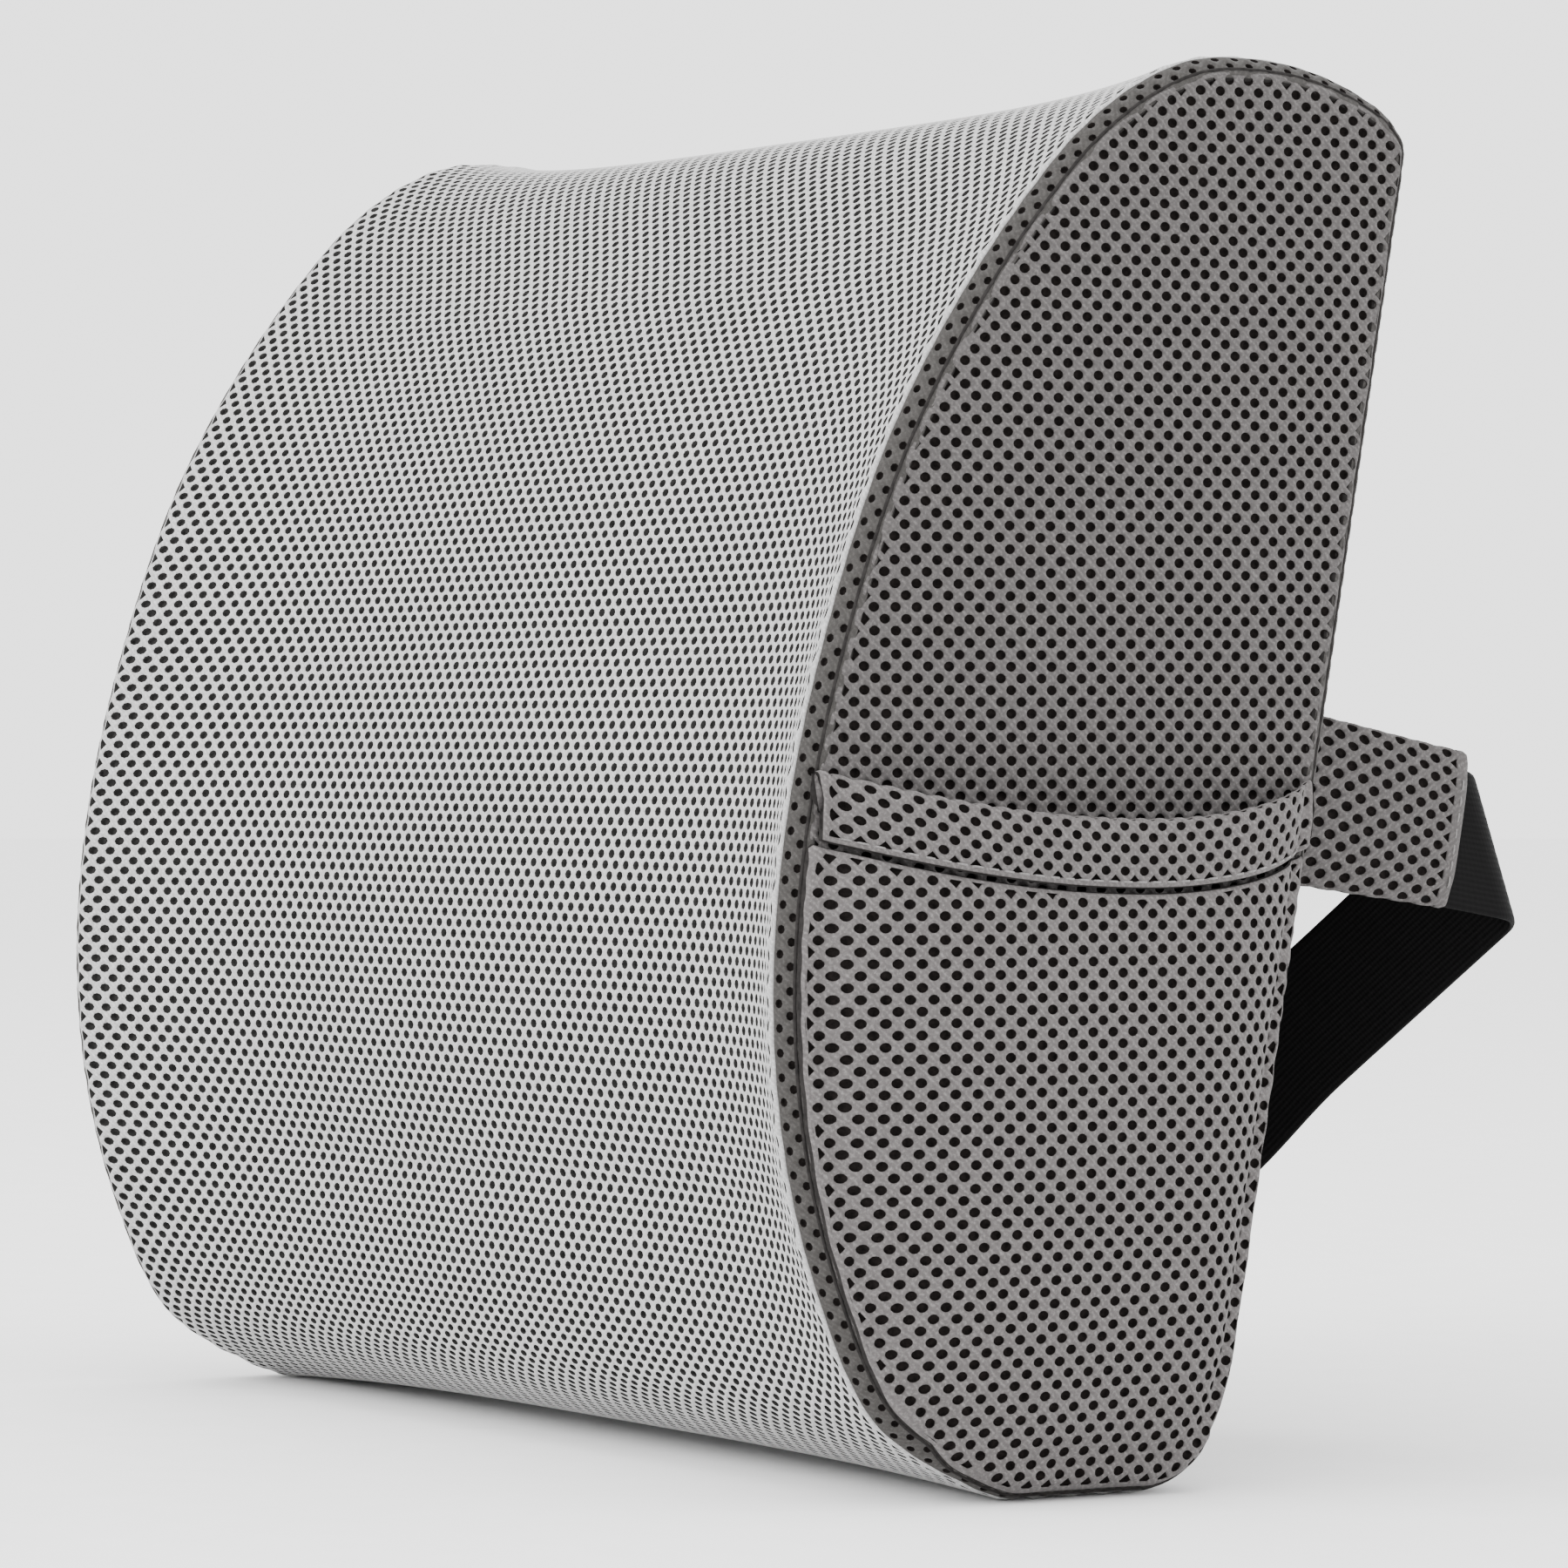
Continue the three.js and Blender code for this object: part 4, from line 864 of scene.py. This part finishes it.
def stitches(name, path, up, length=3.0, gap=0.9, radius=0.26, mat=None, lift=0.0):
    """A row of sewn stitches along path (n,3) in mm; up is the cloth's outward direction at each point."""
    P = np.asarray(path, float)
    L = np.concatenate([[0], np.cumsum(np.linalg.norm(np.diff(P, axis=0), axis=1))])
    up = np.broadcast_to(np.asarray(up, float), P.shape)
    verts, loops = [], []
    at = gap
    ts = np.array([0.0, 0.15, 0.5, 0.85, 1.0])
    hs = np.array([-0.35, 0.10, 0.22, 0.10, -0.35])
    rs = np.array([0.55, 1, 1.1, 1, 0.55]) * radius
    while at + length < L[-1]:
        s = at + ts * length
        c = np.stack([np.interp(s, L, P[:, k]) for k in range(3)], 1)
        u = np.stack([np.interp(s, L, up[:, k]) for k in range(3)], 1)
        u /= np.linalg.norm(u, axis=1, keepdims=True)
        d = c[-1] - c[0]
        d /= max(np.linalg.norm(d), 1e-9)
        side = np.cross(d, u)
        c = c + u * (hs[:, None] + lift)
        base = sum(len(v) for v in verts)
        ring = []
        for i in range(5):
            for k in range(6):
                a = k * math.pi / 3
                ring.append(c[i] + (side[i] * math.cos(a) + u[i] * math.sin(a)) * rs[i])
        verts.append(np.array(ring))
        for i in range(4):
            for k in range(6):
                loops.append([base + i * 6 + k, base + i * 6 + (k + 1) % 6, base + (i + 1) * 6 + (k + 1) % 6, base + (i + 1) * 6 + k])
        at += length + gap
    V = np.vstack(verts)
    F = np.array(loops)
    ob = to_object(name, V, F.ravel(), np.full(len(F), 4), [mat or M_THREAD])
    volume_out(ob)
    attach(ob, "cushion")
    return ob


bands = [band("right", 1), band("left", -1)]
sides = [side_panel("right", 1), side_panel("left", -1)]
pocket_ob = pocket()
hem_ob, HY0, HY1 = hem()
area_p = 0.0095

# a thin cord along each end seam, between band and end panel, in the dark seam material: painted shade along the seam
# line
for side, s in (("right", 1), ("left", -1)):
    ins = RIM_INSET - UNDER - 0.1
    yy, zz = end_ring(ins)
    C = np.stack([s * (FLAT_X + np.sqrt(EDGE_R**2 - (EDGE_R - ins) ** 2) - 0.05), yy, zz], -1)[::2]
    T = np.roll(C, -1, 0) - np.roll(C, 1, 0)
    T /= np.linalg.norm(T, axis=1, keepdims=True)
    X = np.array([float(s), 0, 0])
    Nn = np.cross(T, X)
    Nn /= np.linalg.norm(Nn, axis=1, keepdims=True)
    ring = [C + (X * math.cos(a) + Nn * math.sin(a)) * 0.38 for a in np.linspace(0, 2 * math.pi, 8, endpoint=False)]
    G = np.stack(ring, 1)
    ob = grid_mesh(f"end_seam_shade_{side}", G, [M_SEAM_SHADE], closed_u=True, closed_v=True)
    volume_out(ob)
    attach(ob, "cushion")

# ---- foam core and its liner
def lofted(name, inward, x_end, mat, end_round, open_left=False):
    xs = np.concatenate([[-x_end], np.linspace(-x_end + end_round, x_end - end_round, 47), [x_end]])
    xs = np.unique(np.concatenate([xs] + [[sg * (x_end - end_round * (1 - math.sin(t))) for sg in (-1, 1)] for t in np.linspace(0.1, math.pi / 2, 6)]))
    rows = []
    for x in xs:
        e = max(0.0, abs(x) - (x_end - end_round))
        ins = end_round - math.sqrt(max(0.0, end_round**2 - e * e))
        y, z = dished(ALL_LINE[::3, 0], ALL_LINE[::3, 1], x, HEAD_DIST[::3])
        y, z = offset(y, z, inward + ins, True)
        rows.append(np.stack([np.full_like(y, x), y, z], -1))
    G = np.stack(rows, 0)
    uv = np.stack([G[..., 0], np.broadcast_to(ALL_S[::3][None], G.shape[:2])], -1)
    if open_left:
        G, uv = G[7:], uv[7:]
    ob = grid_mesh(name, G, [mat], closed_v=True, uv=uv, caps=True)
    if open_left:
        me = ob.data
        bm = bmesh.new()
        bm.from_mesh(me)
        big = [f for f in bm.faces if len(f.verts) > 8 and f.calc_center_median().x < 0]
        bmesh.ops.delete(bm, geom=big, context="FACES_ONLY")
        bm.to_mesh(me)
        bm.free()
    volume_out(ob)
    return ob


foam = lofted("foam_body", 4.6, HALF - 5.2, M_FOAM, 6.0)
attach(foam, "cushion")
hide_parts("foam_core")
liner = lofted("liner_cloth", 3.7, HALF - 4.3, M_LINER, 6.5, open_left=True)
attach(liner, "cushion")
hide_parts("inner_liner")

# ---- strap tabs: mesh cloth folded over the webbing and sewn flat at its outer end
TAB_L, TAB_H, TAB_T, TAB_X, TAB_Z = 45.5, 34.0, 8.2, 152.0, 143.0
TAB_S = (TAB_Z - BACK_FOOT[1]) / UP[1]
CLOTH_L, CLOTH_H, CLOTH_S = 49.2, 35.0, TAB_S + 1.8       # the tab's cloth runs a little past the solid's end


def tab(side, s):
    n, m = 90, 181
    a = np.linspace(0, CLOTH_L, n)
    per = 72.0
    th = np.linspace(0, 2 * np.pi, 721)
    Aa, Th = np.meshgrid(a, th, indexing="ij")
    hh = CLOTH_H / 2 * (1.05 - 0.07 * smooth(Aa / CLOTH_L)) - 0.9 * np.clip((Aa - CLOTH_L + 3.2) / 3.2, 0, 1) ** 2 * 1.5
    bul = TAB_T / 2 * (0.42 + 0.58 * np.sin(np.pi * np.clip((Aa + 6) / (CLOTH_L + 7.5), 0, 1)) ** 0.7)
    bul = np.maximum(bul * (1 - np.clip((Aa - CLOTH_L + 2.4) / 2.4, 0, 1) ** 2 * 0.35), 1.75)
    ct, st = np.cos(Th), np.sin(Th)
    q = hh * np.sign(ct) * np.abs(ct) ** 0.72
    x = bul * np.sign(st) * np.abs(st) ** 0.62
    x = x * (1 - 0.25 * np.exp(-((np.abs(q) - hh * 0.86) / 2.0) ** 2))
    b = np.linspace(0, per, m)
    Q, X = np.empty((n, m)), np.empty((n, m))
    for i in range(n):                                      # even steps of cloth round the section
        L = np.concatenate([[0], np.cumsum(np.hypot(np.diff(q[i]), np.diff(x[i])))])
        L *= per / L[-1]
        Q[i], X[i] = np.interp(b, L, q[i]), np.interp(b, L, x[i])
    G = back_point(s * TAB_X + X, CLOTH_S + Q, 0.2 + np.broadcast_to(a[:, None], Q.shape))
    surf = Surf(a, b, G)
    mid_ = G.mean(1)
    if np.dot(surf.N[40, 45], G[40, 45] - mid_[40]) < 0:
        surf.N = -surf.N
    pa, pb, lo = 4.0, 3.2, 0.8
    hi = lo + pb * 14
    cc = []
    for r in range(-1, 17):
        for i in range(18):
            cc.append(((i + 0.5 * (r % 2)) * pa, lo + r * pb))
    cc = np.array(cc, float)

    # rows run along the tab; a is wrapped round it
    def place(u, v, h):
        return surf(v, np.mod(u, per), h)

    def clamp(p):
        return np.stack([p[:, 0], np.clip(p[:, 1], lo, hi)], 1)

    def grow(p, d):
        out = p.copy()
        out[:, 1] = np.where(p[:, 1] > CLOTH_L / 2, p[:, 1] + d * (CLOTH_L - hi) / 1.5, np.maximum(p[:, 1] - d / 3, 0))
        return out

    def outline(V, on):
        res = []
        for up in (True, False):
            idx = np.nonzero(on & ((V[:, 1] > CLOTH_L / 2) == up))[0]
            o = list(idx[np.argsort(V[idx, 0] % per)])
            res.append((o if not up else o[::-1], True))
        return res
    ob = perforated(f"tab_cloth_{side}", cc, pa, pb, (1.02, 1.42), 0.9, clamp, place, grow, [M_SIDE, M_SIDE_HOLE_SHADE, M_SIDE],
                    mids=2, rings=3, outline=outline, closed_a=per, dip=(0.15, 0.1, -0.7), margin=0.05)
    flip_if_inward(ob, lambda qn: qn - np.array([s * TAB_X * MM, *(back_point(0.0, CLOTH_S, CLOTH_L / 2)[1:] * MM)]))
    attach(ob, "cushion")
    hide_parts(f"strap_tab_{side}")
    return ob


tabs = [tab("right", 1), tab("left", -1)]

# ---- elastic strap
WEB_W, WEB_T = 30.0, 1.5
BUCKLE = np.array([0.0, 97.0, 61.0])
BEND_R, TILT, TURN, BEND_OUT = 6.5, math.radians(-29), math.radians(112), 9.0


def unit(v):
    v = np.asarray(v, float)
    return v / np.linalg.norm(v)


def webbing_rows(s, bar, straight):
    ty, tz = BACK_FOOT + UP * TAB_S
    d0, w0, inn = np.array([0, *OUT]), np.array([0, *UP]), np.array([-s, 0.0, 0.0])
    c, sn = math.cos(TILT), math.sin(TILT)
    ruling, b0 = w0 * c + d0 * sn, d0 * c - w0 * sn
    B0 = np.array([s * TAB_X, ty, tz]) + d0 * (TAB_L + BEND_OUT)
    L = BEND_R * TURN
    b1 = b0 * math.cos(TURN) + inn * math.sin(TURN)

    def at(q, r):
        p = B0 + ruling * r
        if q <= 0:
            return p + b0 * q, -inn
        a = min(q, L) / BEND_R
        p = p + b0 * BEND_R * math.sin(a) + inn * BEND_R * (1 - math.cos(a))
        n = b0 * math.sin(a) - inn * math.cos(a)
        if q > L:
            p = p + b1 * (q - L)
        return p, n

    def flat(al, ac):
        return at(al * c - ac * sn, al * sn + ac * c)
    rows, hw = [], WEB_W / 2
    for t in np.linspace(-BEND_OUT - 30, -BEND_OUT * 0.98, 6):
        rows.append((flat(t, -hw)[0], flat(t, hw)[0], -inn))
    for q in np.linspace(-0.01, L + 0.01, 14):
        lo = at(q, (q - hw * sn) / c * sn - hw * c)
        hi = at(q, (q + hw * sn) / c * sn + hw * c)
        rows.append((lo[0], hi[0], lo[1]))
    s1 = (L + hw * abs(sn)) / c + 1
    C1 = flat(s1, 0)[0]
    d1, w1 = unit(ruling * sn + b1 * c), unit(ruling * c - b1 * sn)
    P1 = C1 + d1 * straight
    n1 = unit(np.cross(w1, d1))
    if n1[1] < 0:
        n1 = -n1
    rows.append((C1 - w1 * hw, C1 + w1 * hw, n1))
    for f in (0.33, 0.66):
        Cm = C1 + d1 * straight * f
        rows.append((Cm - w1 * hw, Cm + w1 * hw, n1))
    E = np.array([bar + s * 15, BUCKLE[1], BUCKLE[2]])
    span = np.linalg.norm(P1 - E)
    cp = [P1, P1 + d1 * span * 0.45, E + np.array([s, 0, 0]) * span * 0.35, E]
    for t in np.linspace(0, 1, 13):
        p = (1 - t)**3 * cp[0] + 3 * (1 - t)**2 * t * cp[1] + 3 * (1 - t) * t * t * cp[2] + t**3 * cp[3]
        tan = unit(3 * (1 - t)**2 * (cp[1] - cp[0]) + 6 * (1 - t) * t * (cp[2] - cp[1]) + 3 * t * t * (cp[3] - cp[2]))
        k = float(smooth(t))
        w = unit(w1 * (1 - k) + np.array([0, 0, 1.0]) * k)
        w = unit(w - tan * np.dot(w, tan))
        n = unit(np.cross(w, tan))
        if n[1] < 0:
            n = -n
        rows.append((p - w * hw, p + w * hw, n))
    R, cx = 2.5, bar - s * 3.0

    def hook(x, y, nx, ny):
        rows.append((np.array([x, BUCKLE[1] + y, BUCKLE[2] - hw]), np.array([x, BUCKLE[1] + y, BUCKLE[2] + hw]), unit([nx, ny, 0])))
    hook(bar + s * 9, -0.9, 0, 1)
    hook(bar + s * 2, -R, 0, 1)
    for k in range(9):
        a = k / 8 * math.pi
        hook(cx - s * R * math.sin(a), -R * math.cos(a), s * math.sin(a), math.cos(a))
    hook(bar + s * 2, R, 0, -1)
    hook(bar + s * 9, 0.95, 0, -1)
    hook(bar + s * 17, 0.95, 0, -1)
    return rows, dict(C1=C1, d1=d1, w1=w1, n1=n1)


def strap(side, s, bar, straight):
    rows, info = webbing_rows(s, bar, straight)
    lo, hi, nn = (np.array([r[k] for r in rows]) for k in range(3))
    # finer rows on a smooth line through the edges
    mid_ = (lo + hi) / 2
    L = np.concatenate([[0], np.cumsum(np.linalg.norm(np.diff(mid_, axis=0), axis=1))])
    fine = np.unique(np.concatenate([np.linspace(L[i], L[i + 1], 3) for i in range(len(L) - 1)]))

    def along(A):
        T = np.gradient(A, L, axis=0)
        i = np.clip(np.searchsorted(L, fine, "right") - 1, 0, len(L) - 2)
        h = (L[i + 1] - L[i])[:, None]
        t = ((fine - L[i])[:, None] / h)
        return ((2 * t**3 - 3 * t**2 + 1) * A[i] + (t**3 - 2 * t**2 + t) * h * T[i]
                + (-2 * t**3 + 3 * t**2) * A[i + 1] + (t**3 - t**2) * h * T[i + 1])
    lo, hi, nn = along(lo), along(hi), along(nn)
    nn /= np.linalg.norm(nn, axis=1, keepdims=True)
    v = np.concatenate([[0, 0.012, 0.035], np.linspace(0.07, 0.93, 41), [0.965, 0.988, 1.0]])
    hgt = np.concatenate([[0.35, 0.8, 1.0], 1.0 + 0.03 * np.sin(np.linspace(0, 10 * 2 * np.pi, 41)), [1.0, 0.8, 0.35]]) * WEB_T / 2 * 0.96
    top = lo[:, None] * (1 - v)[None, :, None] + hi[:, None] * v[None, :, None] + nn[:, None] * hgt[None, :, None]
    bot = lo[:, None] * (1 - v)[None, :, None] + hi[:, None] * v[None, :, None] - nn[:, None] * hgt[None, :, None]
    G = np.concatenate([top, bot[:, ::-1]], 1)
    vv = np.concatenate([v, v[::-1]]) * 1000.0          # becomes 0..1 across after the change to metres
    uv = np.stack([np.broadcast_to(fine[:, None], G.shape[:2]), np.broadcast_to(vv[None], G.shape[:2])], -1)
    ob = grid_mesh(f"strap_web_{side}", G, [M_WEB], closed_v=True, uv=uv, caps=True)
    volume_out(ob)
    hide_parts(f"strap_{side}")
    return ob, info, float(L[-1])


strap_r, info_r, len_r = strap("right", 1, BUCKLE[0] + 33, 58.0)
strap_l, info_l, len_l = strap("left", -1, BUCKLE[0] - 33, 54.0)
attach(strap_l, "cushion")
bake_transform(strap_r)


# ---- moulded and metal parts: the CAD shapes with softened edges
def refined(node_name, body, width, mat, segments=3):
    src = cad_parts[node_name]
    bm = bmesh.new()
    bm.from_mesh(src.data)
    bm.transform(src.matrix_world)
    bmesh.ops.remove_doubles(bm, verts=bm.verts, dist=2e-5)
    bmesh.ops.dissolve_limit(bm, angle_limit=math.radians(2), verts=bm.verts, edges=bm.edges)
    me = bpy.data.meshes.new(node_name + "_look")
    bm.to_mesh(me)
    bm.free()
    me.materials.append(mat)
    for p in me.polygons:
        p.use_smooth = True
    ob = bpy.data.objects.new(node_name + "_moulded" if mat is M_PLASTIC else node_name + "_cast", me)
    bpy.context.scene.collection.objects.link(ob)
    b = ob.modifiers.new("edges", "BEVEL")
    b.width, b.segments, b.limit_method, b.angle_limit = width * MM, segments, "ANGLE", math.radians(28)
    b.use_clamp_overlap = True
    b.harden_normals = True
    w = ob.modifiers.new("normals", "WEIGHTED_NORMAL")
    w.keep_sharp = True
    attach(ob, body)
    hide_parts(node_name)
    return ob


refined("buckle_socket", "cushion", 0.7, M_PLASTIC)
refined("buckle_tongue", "tongue", 0.6, M_PLASTIC)
refined("buckle_prong_upper", "prong_upper", 0.5, M_PLASTIC)
refined("buckle_prong_lower", "prong_lower", 0.5, M_PLASTIC)
refined("strap_adjuster", "adjuster", 0.6, M_PLASTIC)
refined("zip_slider", "slider", 0.3, M_METAL)
refined("zip_pull", "pull", 0.3, M_METAL)
refined("zip_stop_right", "cushion", 0.25, M_METAL)
refined("zip_stop_left", "cushion", 0.25, M_METAL)

# ---- zip: nylon coil on two tapes
ZH = 128.0


def coil(name, sgn):
    verts, faces = [], []
    pitch = 1.42
    n = int(2 * ZH / pitch)
    loop = []
    for k in range(14):
        a = 2 * math.pi * k / 14
        loop.append((1.0 * math.cos(a), 1.32 * math.sin(a)))   # out of the plane, up the plane
    for i in range(n):
        x0 = -ZH + pitch * (i + 0.5) + (0.35 if sgn > 0 else -0.35) * 0.5
        base = len(verts)
        for k, (o, q) in enumerate(loop):
            xo = 0.20 * math.sin(2 * math.pi * k / 14)
            for e in range(4):
                an = math.pi / 2 * e
                r = 0.30
                rad = 1 + r * math.cos(an) / 1.1
                verts.append(back_point(np.array(x0 + xo + r * math.sin(an)), ZIP_S + sgn * 1.45 + q * rad * 0.88, o * rad * 0.80))
        for k in range(14):
            for e in range(4):
                k2, e2 = (k + 1) % 14, (e + 1) % 4
                faces.append([base + k * 4 + e, base + k2 * 4 + e, base + k2 * 4 + e2, base + k * 4 + e2])
    F = np.array(faces)
    ob = to_object(name, np.array(verts), F.ravel(), np.full(len(F), 4), [M_COIL])
    volume_out(ob)
    return ob


def tape(name, sgn):
    xs = np.linspace(-163.6, 163.6, 300)
    near = 0.4 - 0.36 * smooth((np.abs(xs) - ZH - 1) / 3)       # past the coil the tapes lie edge to edge
    qs = near[:, None] + (6.5 - near[:, None]) * np.array([0, 0.1, 0.3, 0.55, 0.8, 1.0])[None]
    rows = []
    for o in (-1.45, -2.35):
        rows.append(back_point(np.broadcast_to(xs[:, None], qs.shape), ZIP_S + sgn * qs, np.full(qs.shape, o)))
    G = np.concatenate([rows[0], rows[1][:, ::-1]], 1)
    uv = np.stack([G[..., 0], G[..., 2]], -1)
    ob = grid_mesh(name, G, [M_TAPE], closed_v=True, uv=uv, smooth_faces=False, caps=True)
    volume_out(ob)
    return ob


for tag, sgn in (("upper", 1), ("lower", -1)):
    c = coil(f"zip_teeth_{tag}", sgn)
    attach(c, "cushion")
    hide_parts(f"zip_coil_{tag}")
    t = tape(f"zip_cloth_{tag}", sgn)
    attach(t, "cushion")
    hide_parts(f"zip_tape_{tag}")

# ---- blank care label, sewn in at the zip's edge
xs, qs = np.linspace(-11, 11, 23), np.linspace(0, 15, 16)
Xl, Ql = np.meshgrid(xs, qs, indexing="ij")
lift = 0.55 + 1.3 * (Ql / 15) ** 2 * (0.6 + 0.4 * np.sin((Xl + 4) / 9.0))
top = back_point(-112 + Xl, 32 + Ql, lift)
bot = back_point(-112 + Xl, 32 + Ql, lift - 0.25)
G = np.concatenate([top, bot[:, ::-1]], 1)
lab = grid_mesh("blank_label", G, [M_LABEL], closed_v=True, caps=True, uv=np.stack([G[..., 0], G[..., 2]], -1))
volume_out(lab)
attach(lab, "cushion")
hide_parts("care_label")

# ---- stitching
yy = np.linspace(HY0 + 3, HY1 - 3, 160)
zz = mouth(yy) - HEM_H + 1.5
stitches("hem_stitches", np.stack([pock_x(yy, zz) + 0.45, yy, zz], -1), (1, 0, 0), 2.6, 0.9, 0.20)
for side, s in (("right", 1), ("left", -1)):
    for face in (1, -1):
        q = np.linspace(-TAB_H / 2 + 3.4, TAB_H / 2 - 3.4, 40)
        base_x = s * TAB_X + face * 2.5
        stitches(f"tab_stitches_{side}_{'out' if face > 0 else 'in'}", back_point(np.full_like(q, base_x), CLOTH_S + q, np.full_like(q, CLOTH_L - 2.2)),
                 (face, 0, 0), 2.6, 0.9, 0.20)
for tag, q0 in (("upper", ZIP_S + ZIP_OPEN + 1.9), ("lower", ZIP_S - ZIP_OPEN - 1.9)):
    xs = np.linspace(-158, 158, 240)
    stitches(f"zip_stitches_{tag}", back_point(xs, np.full_like(xs, q0), np.full_like(xs, 0.10)), (0, OUT[0], OUT[1]), 2.8, 1.0, 0.20)

# ------------------------------------------------------------------ floor, light and camera
def studio():
    """A wide round floor, so that the part can be looked at from any side."""
    verts, faces = [(0.0, 0.03, -0.0004)], []
    radii, m = [0.3, 0.8, 1.6, 3.0, 5.5, 9.0], 64
    for r in radii:
        for k in range(m):
            verts.append((r * math.cos(2 * math.pi * k / m), 0.03 + r * math.sin(2 * math.pi * k / m), -0.0004))
    for k in range(m):
        faces.append((0, 1 + k, 1 + (k + 1) % m))
    for i in range(len(radii) - 1):
        for k in range(m):
            k2 = (k + 1) % m
            faces.append((1 + i * m + k, 1 + (i + 1) * m + k, 1 + (i + 1) * m + k2, 1 + i * m + k2))
    me = bpy.data.meshes.new("studio_floor")
    me.from_pydata(verts, [], faces)
    for p in me.polygons:
        p.use_smooth = True
    mt, nt, b = material("pale_paper")
    pos = node(nt, "ShaderNodeTexCoord")
    nz = node(nt, "ShaderNodeTexNoise", Scale=60.0, Detail=2.0)
    nt.links.new(pos.outputs["Object"], nz.inputs["Vector"])
    rp = ramp(nt, nz.outputs["Fac"], [(0.3, (0.93, 0.93, 0.93)), (0.7, (0.95, 0.95, 0.95))])
    nt.links.new(rp.outputs["Color"], b.inputs["Base Color"])
    b.inputs["Roughness"].default_value = 0.9
    b.inputs["Specular IOR Level"].default_value = 0.1
    me.materials.append(mt)
    ob = bpy.data.objects.new("studio_floor", me)
    bpy.context.scene.collection.objects.link(ob)
    return ob


studio()
scene = bpy.context.scene
world = bpy.data.worlds.new("studio")
scene.world = world
world.use_nodes = True
bg = world.node_tree.nodes["Background"]
bg.inputs["Color"].default_value = (1, 1, 1, 1)
bg.inputs["Strength"].default_value = 2.5

AZ, EL, DIST = math.radians(59.66), math.radians(0.42), 1.632
TARGET = Vector((-0.0002, 0.02767, 0.1458))
BACKV = Vector((math.sin(AZ) * math.cos(EL), -math.cos(AZ) * math.cos(EL), math.sin(EL)))


def lamp(name, direction, dist, size, power, colour=(1, 1, 1)):
    d = bpy.data.lights.new(name, "AREA")
    d.shape, d.size, d.energy, d.color = "DISK", size, power, colour
    ob = bpy.data.objects.new(name, d)
    v = Vector(direction).normalized()
    ob.location = Vector((0, 0.03, 0.15)) + v * dist
    ob.rotation_euler = (-v).to_track_quat("-Z", "Y").to_euler()
    scene.collection.objects.link(ob)
    return ob


def from_view(right, up, back):
    r = Vector((math.cos(AZ), math.sin(AZ), 0))
    return BACKV * back + r * right + Vector((0, 0, 1)) * up


lamp("key", from_view(-1.35, 0.80, 0.55), 2.2, 1.5, 40)
lamp("top", from_view(0.1, 1.0, 0.15), 2.2, 1.8, 20)
lamp("fill", from_view(0.9, 0.35, 0.8), 2.6, 1.8, 10)

cam_data = bpy.data.cameras.new("camera")
cam_data.sensor_width, cam_data.lens = 36.0, 163.93
cam = bpy.data.objects.new("camera", cam_data)
cam.location = TARGET + BACKV * DIST
cam.rotation_euler = BACKV.to_track_quat("Z", "Y").to_euler()
scene.collection.objects.link(cam)
scene.camera = cam
